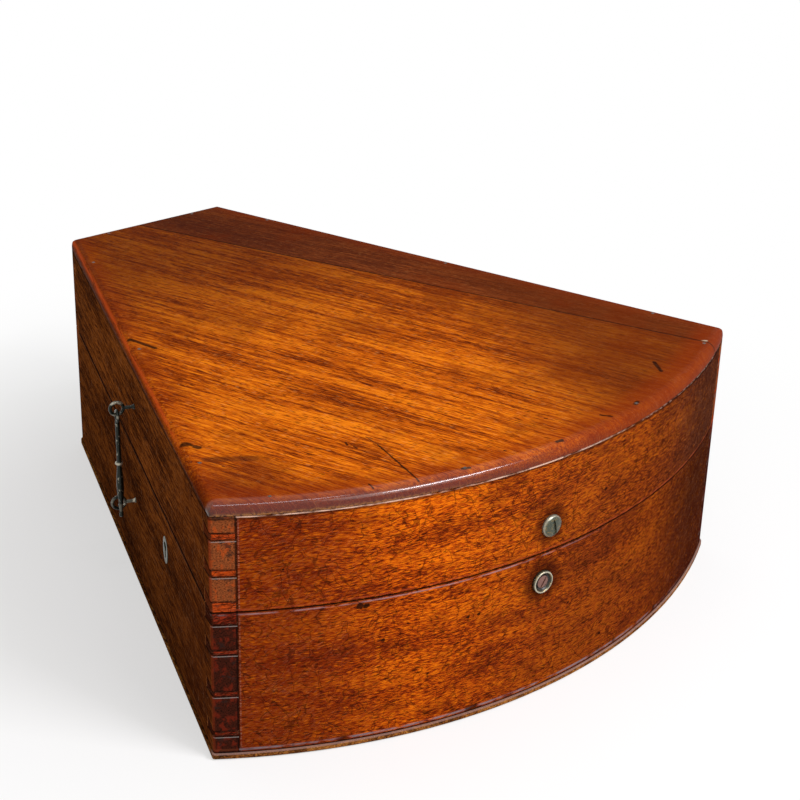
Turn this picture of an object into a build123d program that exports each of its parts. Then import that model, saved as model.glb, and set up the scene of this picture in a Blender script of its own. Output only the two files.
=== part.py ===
from build123d import *
import os
from math import atan2, cos, hypot, pi, radians, sin, sqrt

# Wedge-shaped instrument case in dovetailed mahogany, in millimetres.
# +Z is up, the curved front faces -Y and the narrow end faces +Y.
# The origin is in the middle of the underside.

# Plan of the case
case_length = 352.0
narrow_width = 99.5
front_width = 319.0
front_radius = 287.3
wall_thickness = 11.0

# Heights
case_height = 130.0
split_height = 77.0
split_gap = 0.3
base_board_thickness = 3.5
top_board_thickness = 6.0

# Edges and corners
thumb_radius = 5.0
thumb_foot_chamfer = 0.5
rim_chamfer = 0.5
base_board_overhang = 0.8
base_board_chamfer = 1.2
narrow_corner_radius = 5.0
front_left_corner_radius = 1.4
front_right_corner_radius = 4.5

# Dovetails, counted from the outer edge of each wall towards the split
tail_slope = 1 / 7
base_tail_shares = (0.155, 0.312, 0.320, 0.213)
base_pin_height = 2.7
base_edge_pin_height = 6.0
lid_tail_shares = (0.22, 0.42, 0.36)
lid_pin_height = 3.5
lid_edge_pin_height = 5.5

# The two boards of the top meet in a joint that runs at a slant
lid_joint_front_x = 137.0
lid_joint_front_y = -137.0
lid_joint_angle = 25.0

# The two boards of the bottom meet in a straight joint
base_joint_x = -14.0

# Fits
seat_clearance = 0.03
running_clearance = 0.06

# Butt hinges on the right-hand wall
hinge_places = {"back": 62.0, "front": 258.0}
hinge_length = 40.0
hinge_knuckles = 3
hinge_knuckle_radius = 2.6
hinge_knuckle_gap = 0.15
hinge_pin_radius = 1.1
hinge_pin_outset = 0.6
hinge_leaf_thickness = 1.2
hinge_leaf_width = 9.4
hinge_recess_clearance = 0.2
hinge_screw_spacing = 13.0
hinge_screw_inset = 5.4
hinge_screw_length = 10.0

# Countersunk screws
screw_head_radius = 2.1
screw_head_depth = 1.05
screw_shank_radius = 1.05
shank_sides = 8

# Link lock in the left-hand wall
lock_place = 233.0
lock_plate_length = 52.0
lock_plate_height = 30.0
lock_plate_thickness = 1.3
selvedge_thickness = 1.5
selvedge_width = 8.4
lock_case_length = 40.0
lock_case_height = 27.0
lock_case_depth = 6.6
lock_case_wall = 1.0
lock_screw_length = 7.0
lock_screw_drop = 15.0
lock_screw_inset = 2.7
key_axis_drop = 17.0
key_hole_radius = 2.3
key_slot_width = 2.2
key_slot_drop = 6.4
key_pin_radius = 0.9
escutcheon_width = 9.0
escutcheon_height = 14.4
escutcheon_thickness = 1.3
escutcheon_proud = 0.25
escutcheon_pin_radius = 0.55
escutcheon_pin_inset = 1.5
escutcheon_pin_length = 3.0

# Bolt and links of the lock
link_plate_length = 44.0
link_plate_width = 8.4
link_plate_thickness = 1.5
link_spacing = 18.0
link_thickness = 2.0
link_width = 4.6
link_drop = 8.6
link_bar = 1.0
link_eye_height = 4.0
link_slot_clearance = 0.4
link_screw_length = 8.0
link_screw_inset = 4.0
bolt_travel = 4.5
bolt_finger_gap = 0.7
bolt_finger_height = 2.6
bolt_finger_thickness = 1.8
bolt_post_width = 3.4
bolt_rail_height = 4.0
bolt_rail_gap = 0.6
bolt_rail_overrun = 3.0
bolt_talon_radius = 2.6
bolt_side_clearance = 0.2
guide_stud_radius = 0.8
guide_stud_places = (-9.0, 8.0)

# Hook and its two eyes on the left-hand wall
eye_wire_radius = 0.85
eye_ring_radius = 3.3
eye_neck_length = 4.6
eye_shank_depth = 8.5
eye_shank_radius = 1.1
upper_eye_place = 169.5
upper_eye_height = 103.7
lower_eye_place = 163.5
lower_eye_height = 47.8
hook_loop_radius = 2.7
hook_loop_wire_radius = 0.8
hook_loop_slack = 0.3
hook_rod_radius = 1.15
hook_collar_radius = 2.1
hook_collar_height = 73.5
hook_swell_radius = 1.9
hook_swell_height = 61.0
hook_finger_radius = 0.95
hook_finger_length = 4.5
hook_finger_drop = 0.6
hook_finger_taper = 0.8
hook_finger_tilt = 14.0
hook_neck_radius = 0.9
hook_tail_height = 42.6
hook_tail_radius = 1.25

# Stud and screw cup on the curved front
stud_arc_place = -6.0
stud_height = 90.3
stud_radius = 5.6
stud_dome = 2.6
stud_chamfer = 1.4
stud_slot_width = 1.3
stud_slot_depth = 1.1
stud_slot_turn = 35.0
cup_arc_place = -9.6
cup_height = 62.0
cup_radius = 5.8
cup_bore_radius = 3.9
cup_thickness = 1.9
cup_floor = 0.5
cup_screw_radius = 3.6
cup_screw_thickness = 0.9
cup_screw_slot_depth = 0.5
fitting_shank_radius = 1.7
fitting_shank_depth = 8.0
spotface_depth = 0.3

# Rests inside the case
rest_height = 30.0
rest_edge_radius = 1.5
apex_rest_width = 62.0
apex_rest_depth = 26.0
apex_notch_width = 30.0
apex_notch_depth = 14.0
apex_notch_radius = 6.0
limb_rest_place = 252.0
limb_rest_length = 44.0
limb_rest_width = 40.0
limb_notch_width = 22.0
limb_notch_depth = 12.0
limb_notch_radius = 4.0
limb_notch_inset = 9.0
lid_rest_place = 214.0
lid_rest_length = 44.0
lid_rest_width = 16.0
lid_rest_drop = 22.0
lid_rest_inset = 12.0
baize_thickness = 2.0
baize_margin = 1.0

# Brads that hold the top and the base board
brad_width = 1.6
brad_length = 15.0
side_brad_places = (40.0, 160.0, 285.0)
narrow_brad_places = (-28.0, 28.0)
front_brad_angles = (-28.5, -10.5, 11.5, 28.5)

# Sizes that follow
half_narrow = narrow_width / 2
half_front = front_width / 2
sagitta = front_radius - sqrt(front_radius**2 - half_front**2)
back_y = case_length / 2
front_y = -case_length / 2
chord_y = front_y + sagitta
side_lean = atan2(half_front - half_narrow, back_y - chord_y)
side_length = hypot(half_front - half_narrow, back_y - chord_y)
base_rim = split_height - split_gap / 2
lid_rim = split_height + split_gap / 2
top_joint = case_height - top_board_thickness
far = 2 * case_length
overrun = 1.0

arc_centre = Vector(0, front_y + front_radius, 0)
side_start = Vector(-half_narrow, back_y, 0)
side_along = Vector(-sin(side_lean), -cos(side_lean), 0)
side_inward = Vector(cos(side_lean), -sin(side_lean), 0)

# On this plane x runs along the left wall from the narrow end, y is up and z is outward
side = Plane(origin=side_start, x_dir=side_along, z_dir=-side_inward)


def mirrored(shape):
    return mirror(shape, about=Plane.YZ)


def side_box(along, up, out):
    """Box on the left wall, from three pairs of limits: along it, up and outward."""
    size = [high - low for low, high in (along, up, out)]
    corner = side * Pos(along[0], up[0], out[0])
    return corner * Box(*size, align=(Align.MIN, Align.MIN, Align.MIN))


def side_rod(along, up, out, radius):
    """Rod square to the left wall, between two distances out from it."""
    foot = side * Pos(along, up, out[0])
    return foot * Cylinder(radius, out[1] - out[0], align=(Align.CENTER, Align.CENTER, Align.MIN))


def front_plane(arc_place, height):
    """Plane on the curved front, x along the arc, y up and z outward."""
    turn = arc_place / front_radius
    outward = Vector(sin(turn), -cos(turn), 0)
    along = Vector(cos(turn), sin(turn), 0)
    foot = arc_centre + outward * front_radius + Vector(0, 0, height)
    return Plane(origin=foot, x_dir=along, z_dir=outward)


def front_corner(inset):
    """Where a side and the front arc cross, both moved in by inset."""
    start = side_start + side_inward * inset
    away = start - arc_centre
    half_b = away.dot(side_along)
    rest = away.dot(away) - (front_radius - inset) ** 2
    return start + side_along * (sqrt(half_b**2 - rest) - half_b)


def narrow_corner(inset):
    """Where a side and the narrow end cross, both moved in by inset."""
    x = half_narrow - inset * (1 - sin(side_lean)) / cos(side_lean)
    return Vector(-x, back_y - inset, 0)


def corner_cutter(centre, way_a, way_b, radius):
    """What is taken off an upright corner to round it about a centre line."""
    reach = 4 * radius
    wedge_corner = centre + (way_a + way_b) * reach
    points = (centre, centre + way_a * reach, wedge_corner, centre + way_b * reach)
    wedge = extrude(make_face(Polyline(*points, close=True)), far, both=True)
    return wedge - Pos(centre.X, centre.Y, 0) * Cylinder(radius, 3 * far)


def corner_cutters(inset):
    """The four cutters that round the upright corners of the case."""
    side_way = side_inward * -1
    cutters = []
    corner_radii = ((front_left_corner_radius, False), (front_right_corner_radius, True))
    for front_radius_here, flip in corner_radii:
        narrow_centre = narrow_corner(inset + narrow_corner_radius)
        front_centre = front_corner(inset + front_radius_here)
        front_way = (front_centre - arc_centre).normalized()
        pair = [
            corner_cutter(narrow_centre, side_way, Vector(0, 1, 0), narrow_corner_radius),
            corner_cutter(front_centre, side_way, front_way, front_radius_here),
        ]
        cutters += [mirrored(cutter) if flip else cutter for cutter in pair]
    return cutters


def edge_slab(plane, z_low, z_high, low_chamfer, high_chamfer, thumb):
    """Half space on the x side of a plane, with its two long edges worked."""
    face = make_face(Polyline((0, z_low), (far, z_low), (far, z_high), (0, z_high), close=True))
    low, high = [
        min(face.vertices(), key=lambda v: abs(v.X) + abs(v.Y - height)) for height in (z_low, z_high)
    ]
    if low_chamfer > 0:
        face = chamfer(low, low_chamfer)
        high = min(face.vertices(), key=lambda v: abs(v.X) + abs(v.Y - z_high))
    if thumb > 0:
        face = fillet(high, thumb)
    elif high_chamfer > 0:
        face = chamfer(high, high_chamfer)
    return extrude(plane * face, far, both=True)


def front_disc(radius, z_low, z_high, low_chamfer, high_chamfer, thumb):
    """Disc whose rim is the curved front, with its two edges worked like those of the slabs."""
    disc = Pos(arc_centre.X, arc_centre.Y, z_low) * Cylinder(
        radius, z_high - z_low, align=(Align.CENTER, Align.CENTER, Align.MIN)
    )
    if thumb > 0:
        disc = fillet(disc.edges().filter_by(GeomType.CIRCLE).sort_by(Axis.Z)[-1], thumb)
    elif high_chamfer > 0:
        disc = chamfer(disc.edges().filter_by(GeomType.CIRCLE).sort_by(Axis.Z)[-1], high_chamfer)
    if low_chamfer > 0:
        disc = chamfer(disc.edges().filter_by(GeomType.CIRCLE).sort_by(Axis.Z)[0], low_chamfer)
    return disc


def case_block(inset, z_low, z_high, low_chamfer=0.0, high_chamfer=0.0, thumb=0.0, corners_rounded=True):
    """Solid of the case's outline, mitred at its corners, with its outer edges worked."""
    edges = (z_low, z_high, low_chamfer, high_chamfer, thumb)
    side_edge = Plane(origin=side_start + side_inward * inset, x_dir=side_inward, z_dir=side_along)
    narrow_edge = Plane(origin=(0, back_y - inset, 0), x_dir=(0, -1, 0), z_dir=(-1, 0, 0))
    left = edge_slab(side_edge, *edges)
    narrow = edge_slab(narrow_edge, *edges)
    block = left & mirrored(left) & narrow & front_disc(front_radius - inset, *edges)
    if corners_rounded:
        for cutter in corner_cutters(inset):
            block = block - cutter
    return block


def wall_ring(z_low, z_high, low_chamfer, high_chamfer):
    """Outer wall of the base or of the lid, before it is divided into boards."""
    outer = case_block(0, z_low, z_high, low_chamfer, high_chamfer)
    return outer - case_block(wall_thickness, z_low - overrun, z_high + overrun, corners_rounded=False)


def tail_bands(outer_z, split_z, shares, pin, edge_pin):
    """Heights of the dovetails, as pairs, from the outer edge of a wall to the split."""
    way = 1 if split_z > outer_z else -1
    tails_height = abs(split_z - outer_z) - edge_pin - pin * (len(shares) - 1)
    bands = []
    start = outer_z
    for share in shares:
        end = start + way * tails_height * share
        bands.append((start, end))
        start = end + way * pin
    return bands


def tail_prisms(bands, end, way):
    """Dovetails at one end of the left wall: wide at the end, narrow at the shoulder."""
    depth = 3 * wall_thickness
    beyond = end + way * wall_thickness
    shoulder = end - way * depth
    prisms = []
    for number, (outer, inner) in enumerate(bands):
        lean = depth * tail_slope * (1 if inner > outer else -1)
        if number == 0:
            outer = outer - lean
            outer_shoulder = outer
        else:
            outer_shoulder = outer + lean
        points = (
            (beyond, outer),
            (beyond, inner),
            (end, inner),
            (shoulder, inner - lean),
            (shoulder, outer_shoulder),
            (end, outer),
        )
        prisms.append(extrude(side * make_face(Polyline(*points, close=True)), depth, both=True))
    return prisms


def front_zone(ring):
    """The curved part of a wall, with its corners."""
    span = Pos(0, front_y, 0) * Box(far, 2 * sagitta + 4 * wall_thickness, far)
    disc = Pos(arc_centre.X, arc_centre.Y, 0) * Cylinder(front_radius - wall_thickness, far)
    return (ring & span) - disc


def narrow_zone(ring):
    """The narrow end of a wall, with its corners."""
    return ring & Pos(0, back_y, 0) * Box(far, 2 * wall_thickness, far)


def side_board(ring, bands):
    """The left board of a wall, with its dovetails cut."""
    board = ring & side_box((-far, far), (-far, far), (-wall_thickness, wall_thickness))
    ends = ((front_zone(ring), side_length, 1), (narrow_zone(ring), 0.0, -1))
    for neighbour, end, way in ends:
        pins = board & neighbour
        for prism in tail_prisms(bands, end, way):
            pins = pins - prism
        board = board - pins
    return board


def wall_boards(ring, bands):
    """The four boards of a wall: the sides carry the tails, the ends the pins."""
    left = side_board(ring, bands)
    right = mirrored(side_board(mirrored(ring), bands))
    front = front_zone(ring) - left - right
    narrow = narrow_zone(ring) - left - right
    return {"left": left, "right": right, "narrow": narrow, "front": front}


def lid_boards():
    """The two boards of the top, joined along a slanting line."""
    board = case_block(0, top_joint, case_height, thumb_foot_chamfer, thumb=thumb_radius)
    turn = radians(lid_joint_angle)
    way = Vector(-sin(turn), cos(turn), 0)
    joint_end = (lid_joint_front_x, lid_joint_front_y, 0)
    joint = Plane(origin=joint_end, x_dir=way, z_dir=(cos(turn), sin(turn), 0))
    strip_side = joint * Pos(0, 0, far / 2) * Box(2 * far, 2 * far, far)
    return {"main": board - strip_side, "strip": board & strip_side}


def base_boards():
    """The two boards of the bottom, a little wider than the walls."""
    bottom = case_block(-base_board_overhang, 0, base_board_thickness, base_board_chamfer)
    right_side = Pos(base_joint_x + far / 2, 0, 0) * Box(far, far, far)
    return {"left": bottom - right_side, "right": bottom & right_side}


def shank(radius, depth):
    """Eight-sided shank below z = 0."""
    return extrude(RegularPolygon(radius, shank_sides), -depth)


def countersunk_screw(length, clearance=0.0):
    """Screw with its flat head at z = 0 and its shank below; clearance widens it for its hole."""
    head = RegularPolygon(screw_head_radius + clearance, shank_sides)
    neck = screw_shank_radius + clearance
    bottom = Pos(0, 0, -screw_head_depth) * RegularPolygon(neck, shank_sides)
    return loft([bottom, head]) + shank(neck, length)


def hinge_axis_plane(place):
    """Plane at the middle of a hinge's pin: x along the wall, y up, z outward."""
    return side * Pos(place, split_height, hinge_pin_outset)


def along_wall(plane_place, start, length, radius):
    """Rod along the left wall, from a point given in the side plane."""
    rod = Cylinder(radius, length, align=(Align.CENTER, Align.CENTER, Align.MIN))
    return plane_place * Pos(start, 0, 0) * Rot(0, 90, 0) * rod


def hinge_recess(place):
    """Room for the knuckles and for both leaves, let into the two rims."""
    centre = hinge_axis_plane(place)
    length = hinge_length + 2 * hinge_recess_clearance
    radius = hinge_knuckle_radius + hinge_recess_clearance
    room = along_wall(centre, -length / 2, length, radius)
    leaf_span = (place - hinge_length / 2, place + hinge_length / 2)
    height = (base_rim - hinge_leaf_thickness, lid_rim + hinge_leaf_thickness)
    leaves = side_box(leaf_span, height, (-hinge_leaf_width, wall_thickness))
    return room + leaves


def hinge_leaf(place, up):
    """One leaf with its knuckles: the base's leaf has the two outer ones, the lid's the middle one."""
    rim = lid_rim if up else base_rim
    height = (rim, rim + hinge_leaf_thickness) if up else (rim - hinge_leaf_thickness, rim)
    start = place - hinge_length / 2
    clear_edge = hinge_pin_outset - hinge_knuckle_radius - hinge_recess_clearance
    leaf = side_box((start, start + hinge_length), height, (-hinge_leaf_width, clear_edge))
    centre = hinge_axis_plane(place)
    step = hinge_length / hinge_knuckles
    for number in range(1 if up else 0, hinge_knuckles, 2):
        low = -hinge_length / 2 + number * step + hinge_knuckle_gap / 2
        length = step - hinge_knuckle_gap
        tongue = side_box((place + low, place + low + length), height, (clear_edge, hinge_pin_outset))
        leaf = leaf + tongue + along_wall(centre, low, length, hinge_knuckle_radius)
    bore = along_wall(centre, -hinge_length, 2 * hinge_length, hinge_pin_radius + running_clearance)
    leaf = leaf - bore
    for screw in hinge_screws(place, up, seat_clearance):
        leaf = leaf - screw
    return mirrored(leaf)


def hinge_screws(place, up, clearance=0.0):
    """The two screws of one leaf, on the left wall, before mirroring."""
    screws = []
    for way in (-1, 1):
        rim = lid_rim if up else base_rim
        centre = side * Pos(place + way * hinge_screw_spacing, rim, -hinge_screw_inset)
        turn = Rot(90, 0, 0) if up else Rot(-90, 0, 0)
        screws.append(centre * turn * countersunk_screw(hinge_screw_length, clearance))
    return screws


def hinge_pin(place):
    """Pin of a hinge, as long as its knuckles."""
    pin = along_wall(hinge_axis_plane(place), -hinge_length / 2, hinge_length, hinge_pin_radius)
    return mirrored(pin)


def key_hole(low, high):
    """Key hole through part of the left wall, between two distances out from it."""
    axis_height = base_rim - key_axis_drop
    slot_span = (lock_place - key_slot_width / 2, lock_place + key_slot_width / 2)
    slot = side_box(slot_span, (axis_height - key_slot_drop, axis_height), (low, high))
    return slot + side_rod(lock_place, axis_height, (low, high), key_hole_radius)


def lock_span(length):
    return (lock_place - length / 2, lock_place + length / 2)


def link_places():
    return (lock_place - link_spacing / 2, lock_place + link_spacing / 2)


def face_plate_depth():
    """Limits of the lock's face plate, out from the wall: flush with its inner face."""
    return (-wall_thickness, -wall_thickness + lock_plate_thickness)


def lock_case_limits():
    top = base_rim - selvedge_thickness
    low = face_plate_depth()[1]
    return (top - lock_case_height, top), (low, low + lock_case_depth)


def lock_middle():
    """Middle of the room in the lock case, out from the wall."""
    low, high = lock_case_limits()[1]
    return (low + high - lock_case_wall) / 2


def lock_plate_blank():
    """Face plate and selvedge in one, before they are pierced; also the recess for them."""
    span = lock_span(lock_plate_length)
    face = side_box(span, (base_rim - lock_plate_height, base_rim), face_plate_depth())
    selvedge_out = (-wall_thickness, -wall_thickness + selvedge_width)
    selvedge = side_box(span, (base_rim - selvedge_thickness, base_rim), selvedge_out)
    return face + selvedge


def lock_plate():
    """Brass plate with the slots for the links and the pin that guides the key."""
    plate = lock_plate_blank()
    middle = lock_middle()
    half_slot = link_width / 2 + link_slot_clearance
    reach = link_thickness / 2 + link_slot_clearance
    slot_up = (base_rim - 2 * selvedge_thickness, base_rim + overrun)
    slot_out = (middle - half_slot, middle + half_slot)
    for place in link_places():
        plate = plate - side_box((place - reach, place + reach), slot_up, slot_out)
    for screw in lock_screws(seat_clearance):
        plate = plate - screw
    pin_foot = face_plate_depth()[0] + lock_plate_thickness / 2
    pin = side_rod(lock_place, base_rim - key_axis_drop, (pin_foot, -escutcheon_thickness), key_pin_radius)
    return plate + pin


def lock_screws(clearance=0.0):
    """Two screws through the face plate and two down through the selvedge."""
    reach = lock_plate_length / 2 - lock_screw_inset
    screws = []
    for way in (-1, 1):
        place = lock_place + way * reach
        on_face = side * Pos(place, base_rim - lock_screw_drop, -wall_thickness)
        screws.append(on_face * Rot(180, 0, 0) * countersunk_screw(lock_screw_length, clearance))
        on_rim = side * Pos(place, base_rim, lock_middle())
        screws.append(on_rim * Rot(-90, 0, 0) * countersunk_screw(lock_screw_length, clearance))
    return screws


def lock_case_blank():
    up, out = lock_case_limits()
    return side_box(lock_span(lock_case_length), up, out)


def lock_case():
    """Tray that holds the bolt, open to the face plate and to the selvedge."""
    up, out = lock_case_limits()
    room_up = (up[0] + lock_case_wall, up[1] + overrun)
    room_out = (out[0] - overrun, out[1] - lock_case_wall)
    room = side_box(lock_span(lock_case_length - 2 * lock_case_wall), room_up, room_out)
    case = lock_case_blank() - room - key_hole(out[0], overrun)
    rail_middle = bolt_rail_top() - bolt_rail_height / 2
    for place in guide_stud_places:
        case = case + side_rod(lock_place + place, rail_middle, out, guide_stud_radius)
    return case


def bolt_rail_top():
    return lid_rim - link_drop - bolt_rail_gap


def lock_bolt():
    """Sliding rail with two fingers that pass through the links."""
    out = lock_case_limits()[1]
    rail_out = (out[0] + bolt_side_clearance, out[1] - lock_case_wall - bolt_side_clearance)
    middle = lock_middle()
    finger_out = (middle - bolt_finger_thickness / 2, middle + bolt_finger_thickness / 2)
    eye_middle = lid_rim - link_drop + link_bar + link_eye_height / 2
    finger_up = (eye_middle - bolt_finger_height / 2, eye_middle + bolt_finger_height / 2)
    rail_top = bolt_rail_top()
    posts = []
    for place in link_places():
        tip = place - link_thickness / 2 - bolt_finger_gap
        root = tip - bolt_travel
        finger = side_box((root - bolt_post_width, tip), finger_up, finger_out)
        post = side_box((root - bolt_post_width, root), (rail_top - overrun, finger_up[1]), finger_out)
        posts.append(finger + post)
    first = link_places()[0] - link_thickness / 2 - bolt_finger_gap - bolt_travel - bolt_post_width
    last = link_places()[1] + bolt_rail_overrun
    rail = side_box((first, last), (rail_top - bolt_rail_height, rail_top), rail_out)
    rail = rail - side_rod(lock_place, rail_top - bolt_rail_height, (out[0], out[1]), bolt_talon_radius)
    slot_radius = guide_stud_radius + running_clearance
    rail_middle = rail_top - bolt_rail_height / 2
    for place in guide_stud_places:
        end = lock_place + place
        start = end - bolt_travel
        slot = side_box((start, end), (rail_middle - slot_radius, rail_middle + slot_radius), out)
        for middle_place in (start, end):
            slot = slot + side_rod(middle_place, rail_middle, out, slot_radius)
        rail = rail - slot
    return rail + posts[0] + posts[1]


def link_plate_blank():
    out = (-wall_thickness, -wall_thickness + link_plate_width)
    return side_box(lock_span(link_plate_length), (lid_rim, lid_rim + link_plate_thickness), out)


def link_plate():
    """Plate in the lid's rim with two eyes that drop into the lock."""
    plate = link_plate_blank()
    middle = lock_middle()
    eye_width = link_width - 2 * link_bar
    eye_low = lid_rim - link_drop + link_bar
    for place in link_places():
        span = (place - link_thickness / 2, place + link_thickness / 2)
        tongue_up = (lid_rim - link_drop, lid_rim + link_plate_thickness / 2)
        tongue = side_box(span, tongue_up, (middle - link_width / 2, middle + link_width / 2))
        eye_out = (middle - eye_width / 2, middle + eye_width / 2)
        eye_span = (span[0] - overrun, span[1] + overrun)
        eye = side_box(eye_span, (eye_low, eye_low + link_eye_height), eye_out)
        plate = plate + (tongue - eye)
    for screw in link_screws(seat_clearance):
        plate = plate - screw
    return plate


def link_screws(clearance=0.0):
    reach = link_plate_length / 2 - link_screw_inset
    screws = []
    for way in (-1, 1):
        centre = side * Pos(lock_place + way * reach, lid_rim, lock_middle())
        screws.append(centre * Rot(90, 0, 0) * countersunk_screw(link_screw_length, clearance))
    return screws


def escutcheon_blank():
    """Oval of the escutcheon; also the pocket for it in the wall."""
    height = base_rim - key_axis_drop - key_slot_drop / 2 + key_hole_radius / 2
    foot = side * Pos(lock_place, height, escutcheon_proud - escutcheon_thickness)
    return foot * extrude(Ellipse(escutcheon_width / 2, escutcheon_height / 2), escutcheon_thickness)


def escutcheon():
    """Oval brass plate round the key hole, let into the wall."""
    plate = escutcheon_blank()
    plate = plate - key_hole(-escutcheon_thickness, overrun)
    for pin in escutcheon_pins():
        plate = plate - pin
    return plate


def escutcheon_pins():
    middle = base_rim - key_axis_drop - key_slot_drop / 2 + key_hole_radius / 2
    reach = escutcheon_height / 2 - escutcheon_pin_inset
    out = (escutcheon_proud - escutcheon_pin_length, escutcheon_proud)
    return [side_rod(lock_place, middle + way * reach, out, escutcheon_pin_radius) for way in (-1, 1)]


def eye_ring_out():
    """How far the middle of an eye's ring stands out from the wall."""
    return eye_neck_length + eye_wire_radius + eye_ring_radius


def wire_ring(ring_radius, wire_radius):
    """Ring about Z of square wire, as heavy as round wire of this radius."""
    width = sqrt(pi) * wire_radius
    wire = Rectangle(width, width)
    return revolve(Plane.XZ * Pos(ring_radius, 0) * wire, Axis.Z)


def screw_eye(place, height):
    """Screw eye whose ring stands upright and square to the wall."""
    upright = side * Pos(place, height, eye_ring_out()) * Rot(0, 90, 0)
    neck = side_rod(place, height, (0, eye_neck_length + eye_wire_radius), eye_wire_radius)
    return upright * wire_ring(eye_ring_radius, eye_wire_radius) + neck + eye_shank(place, height)


def eye_shank(place, height, clearance=0.0):
    """Shank of a screw eye inside the wall; clearance widens it for its hole."""
    return side * Pos(place, height, 0) * shank(eye_shank_radius + clearance, eye_shank_depth)


def hook_pivot_height():
    return upper_eye_height - eye_ring_radius


def tapered_rod(stations):
    """Eight-sided rod about Z through (radius, height) stations."""
    rod = None
    for (low_radius, low), (high_radius, high) in zip(stations, stations[1:]):
        ends = [
            Pos(0, 0, low) * RegularPolygon(low_radius, shank_sides),
            Pos(0, 0, high) * RegularPolygon(high_radius, shank_sides),
        ]
        length = loft(ends)
        rod = length if rod is None else rod + length
    return rod


def hook_rod():
    """Rod of the hook: loop, collar, long swell and a small knob at its tail."""
    loop_inside = hook_loop_radius - hook_loop_wire_radius
    loop_drop = loop_inside - eye_wire_radius - hook_loop_slack
    top = hook_pivot_height() - loop_drop - hook_loop_radius
    bead = hook_collar_radius - hook_rod_radius
    stations = (
        (hook_neck_radius, hook_tail_height),
        (hook_tail_radius, hook_tail_height + hook_tail_radius),
        (hook_neck_radius, hook_tail_height + 2 * hook_tail_radius),
        (hook_finger_radius, lower_eye_height + hook_finger_radius),
        (hook_swell_radius, hook_swell_height),
        (hook_rod_radius, hook_collar_height - bead),
        (hook_collar_radius, hook_collar_height),
        (hook_rod_radius, hook_collar_height + bead),
        (hook_rod_radius, top),
    )
    loop = Rot(90, 0, 0) * wire_ring(hook_loop_radius, hook_loop_wire_radius)
    return tapered_rod(stations) + Pos(0, 0, top + hook_loop_radius) * loop


def hook_finger():
    """Blunt finger along +Z."""
    tip_radius = hook_finger_taper * hook_finger_radius
    return tapered_rod(((hook_finger_radius, 0), (tip_radius, hook_finger_length)))


def hook():
    """Hook that hangs from the lid's eye; its finger catches in the base's eye."""
    root = Pos(0, 0, lower_eye_height - hook_finger_drop)
    finger = root * Rot(0, hook_finger_tilt - 90, 0) * hook_finger()
    upright = hook_rod() + finger
    return side * Pos(upper_eye_place, 0, eye_ring_out()) * Rot(-90, 0, 0) * upright


def front_seat(plane, radius):
    """Flat seat and shank hole for a fitting on the curved front."""
    seat = Pos(0, 0, -spotface_depth) * Cylinder(
        radius, far, align=(Align.CENTER, Align.CENTER, Align.MIN)
    )
    return plane * (seat + shank(fitting_shank_radius + seat_clearance, fitting_shank_depth))


def front_stud():
    """Raised round stud with a slanting slot, on the lid."""
    plane = front_plane(stud_arc_place, stud_height)
    head = Pos(0, 0, -spotface_depth) * Cylinder(
        stud_radius, stud_dome + spotface_depth, align=(Align.CENTER, Align.CENTER, Align.MIN)
    )
    head = chamfer(head.edges().filter_by(GeomType.CIRCLE).sort_by(Axis.Z)[-1], stud_chamfer)
    slot = Rot(0, 0, stud_slot_turn) * Box(3 * stud_radius, stud_slot_width, 2 * stud_slot_depth)
    head = head - Pos(0, 0, stud_dome) * slot
    return plane * (head + shank(fitting_shank_radius, fitting_shank_depth))


def front_cup():
    """Round cup that the screw of the base's fitting sits in."""
    plane = front_plane(cup_arc_place, cup_height)
    blank = Pos(0, 0, -spotface_depth) * Cylinder(
        cup_radius, cup_thickness + spotface_depth, align=(Align.CENTER, Align.CENTER, Align.MIN)
    )
    floor = cup_floor - spotface_depth
    bore = Pos(0, 0, floor) * Cylinder(
        cup_bore_radius, far, align=(Align.CENTER, Align.CENTER, Align.MIN)
    )
    hole = Cylinder(fitting_shank_radius + seat_clearance, far)
    return plane * (blank - bore - hole)


def front_cup_screw():
    """Flat slotted screw in the cup."""
    plane = front_plane(cup_arc_place, cup_height)
    floor = cup_floor - spotface_depth
    top = floor + cup_screw_thickness
    head = Pos(0, 0, floor) * Cylinder(
        cup_screw_radius, cup_screw_thickness, align=(Align.CENTER, Align.CENTER, Align.MIN)
    )
    stem = Pos(0, 0, floor) * shank(fitting_shank_radius, fitting_shank_depth + floor)
    slot = Box(3 * cup_screw_radius, stud_slot_width, 2 * cup_screw_slot_depth)
    return plane * (head + stem - Pos(0, 0, top) * slot)


def notched_section(width, height, notch_start, notch_width, notch_depth, notch_radius):
    """Upright section of a rest from x = 0, with a rounded notch in its top."""
    blank = Pos(width / 2, height / 2) * Rectangle(width, height)
    notch_low = height - notch_depth
    notch = Pos(notch_start + notch_width / 2, notch_low + height / 2) * Rectangle(notch_width, height)
    notch = fillet(notch.vertices().group_by(Axis.Y)[0], notch_radius)
    section = blank - notch
    corners = section.vertices().group_by(Axis.Y)[-1]
    return fillet(corners, rest_edge_radius)


def apex_rest():
    """Notched block at the narrow end."""
    section = notched_section(
        apex_rest_width,
        rest_height,
        (apex_rest_width - apex_notch_width) / 2,
        apex_notch_width,
        apex_notch_depth,
        apex_notch_radius,
    )
    foot = (apex_rest_width / 2, back_y - wall_thickness, base_board_thickness)
    start = Plane(origin=foot, x_dir=(-1, 0, 0), z_dir=(0, 1, 0))
    return extrude(start * section, -apex_rest_depth)


def baize_strip(width, length):
    """Strip of baize from z = 0 up."""
    return Box(width, length, baize_thickness, align=(Align.CENTER, Align.CENTER, Align.MIN))


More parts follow.
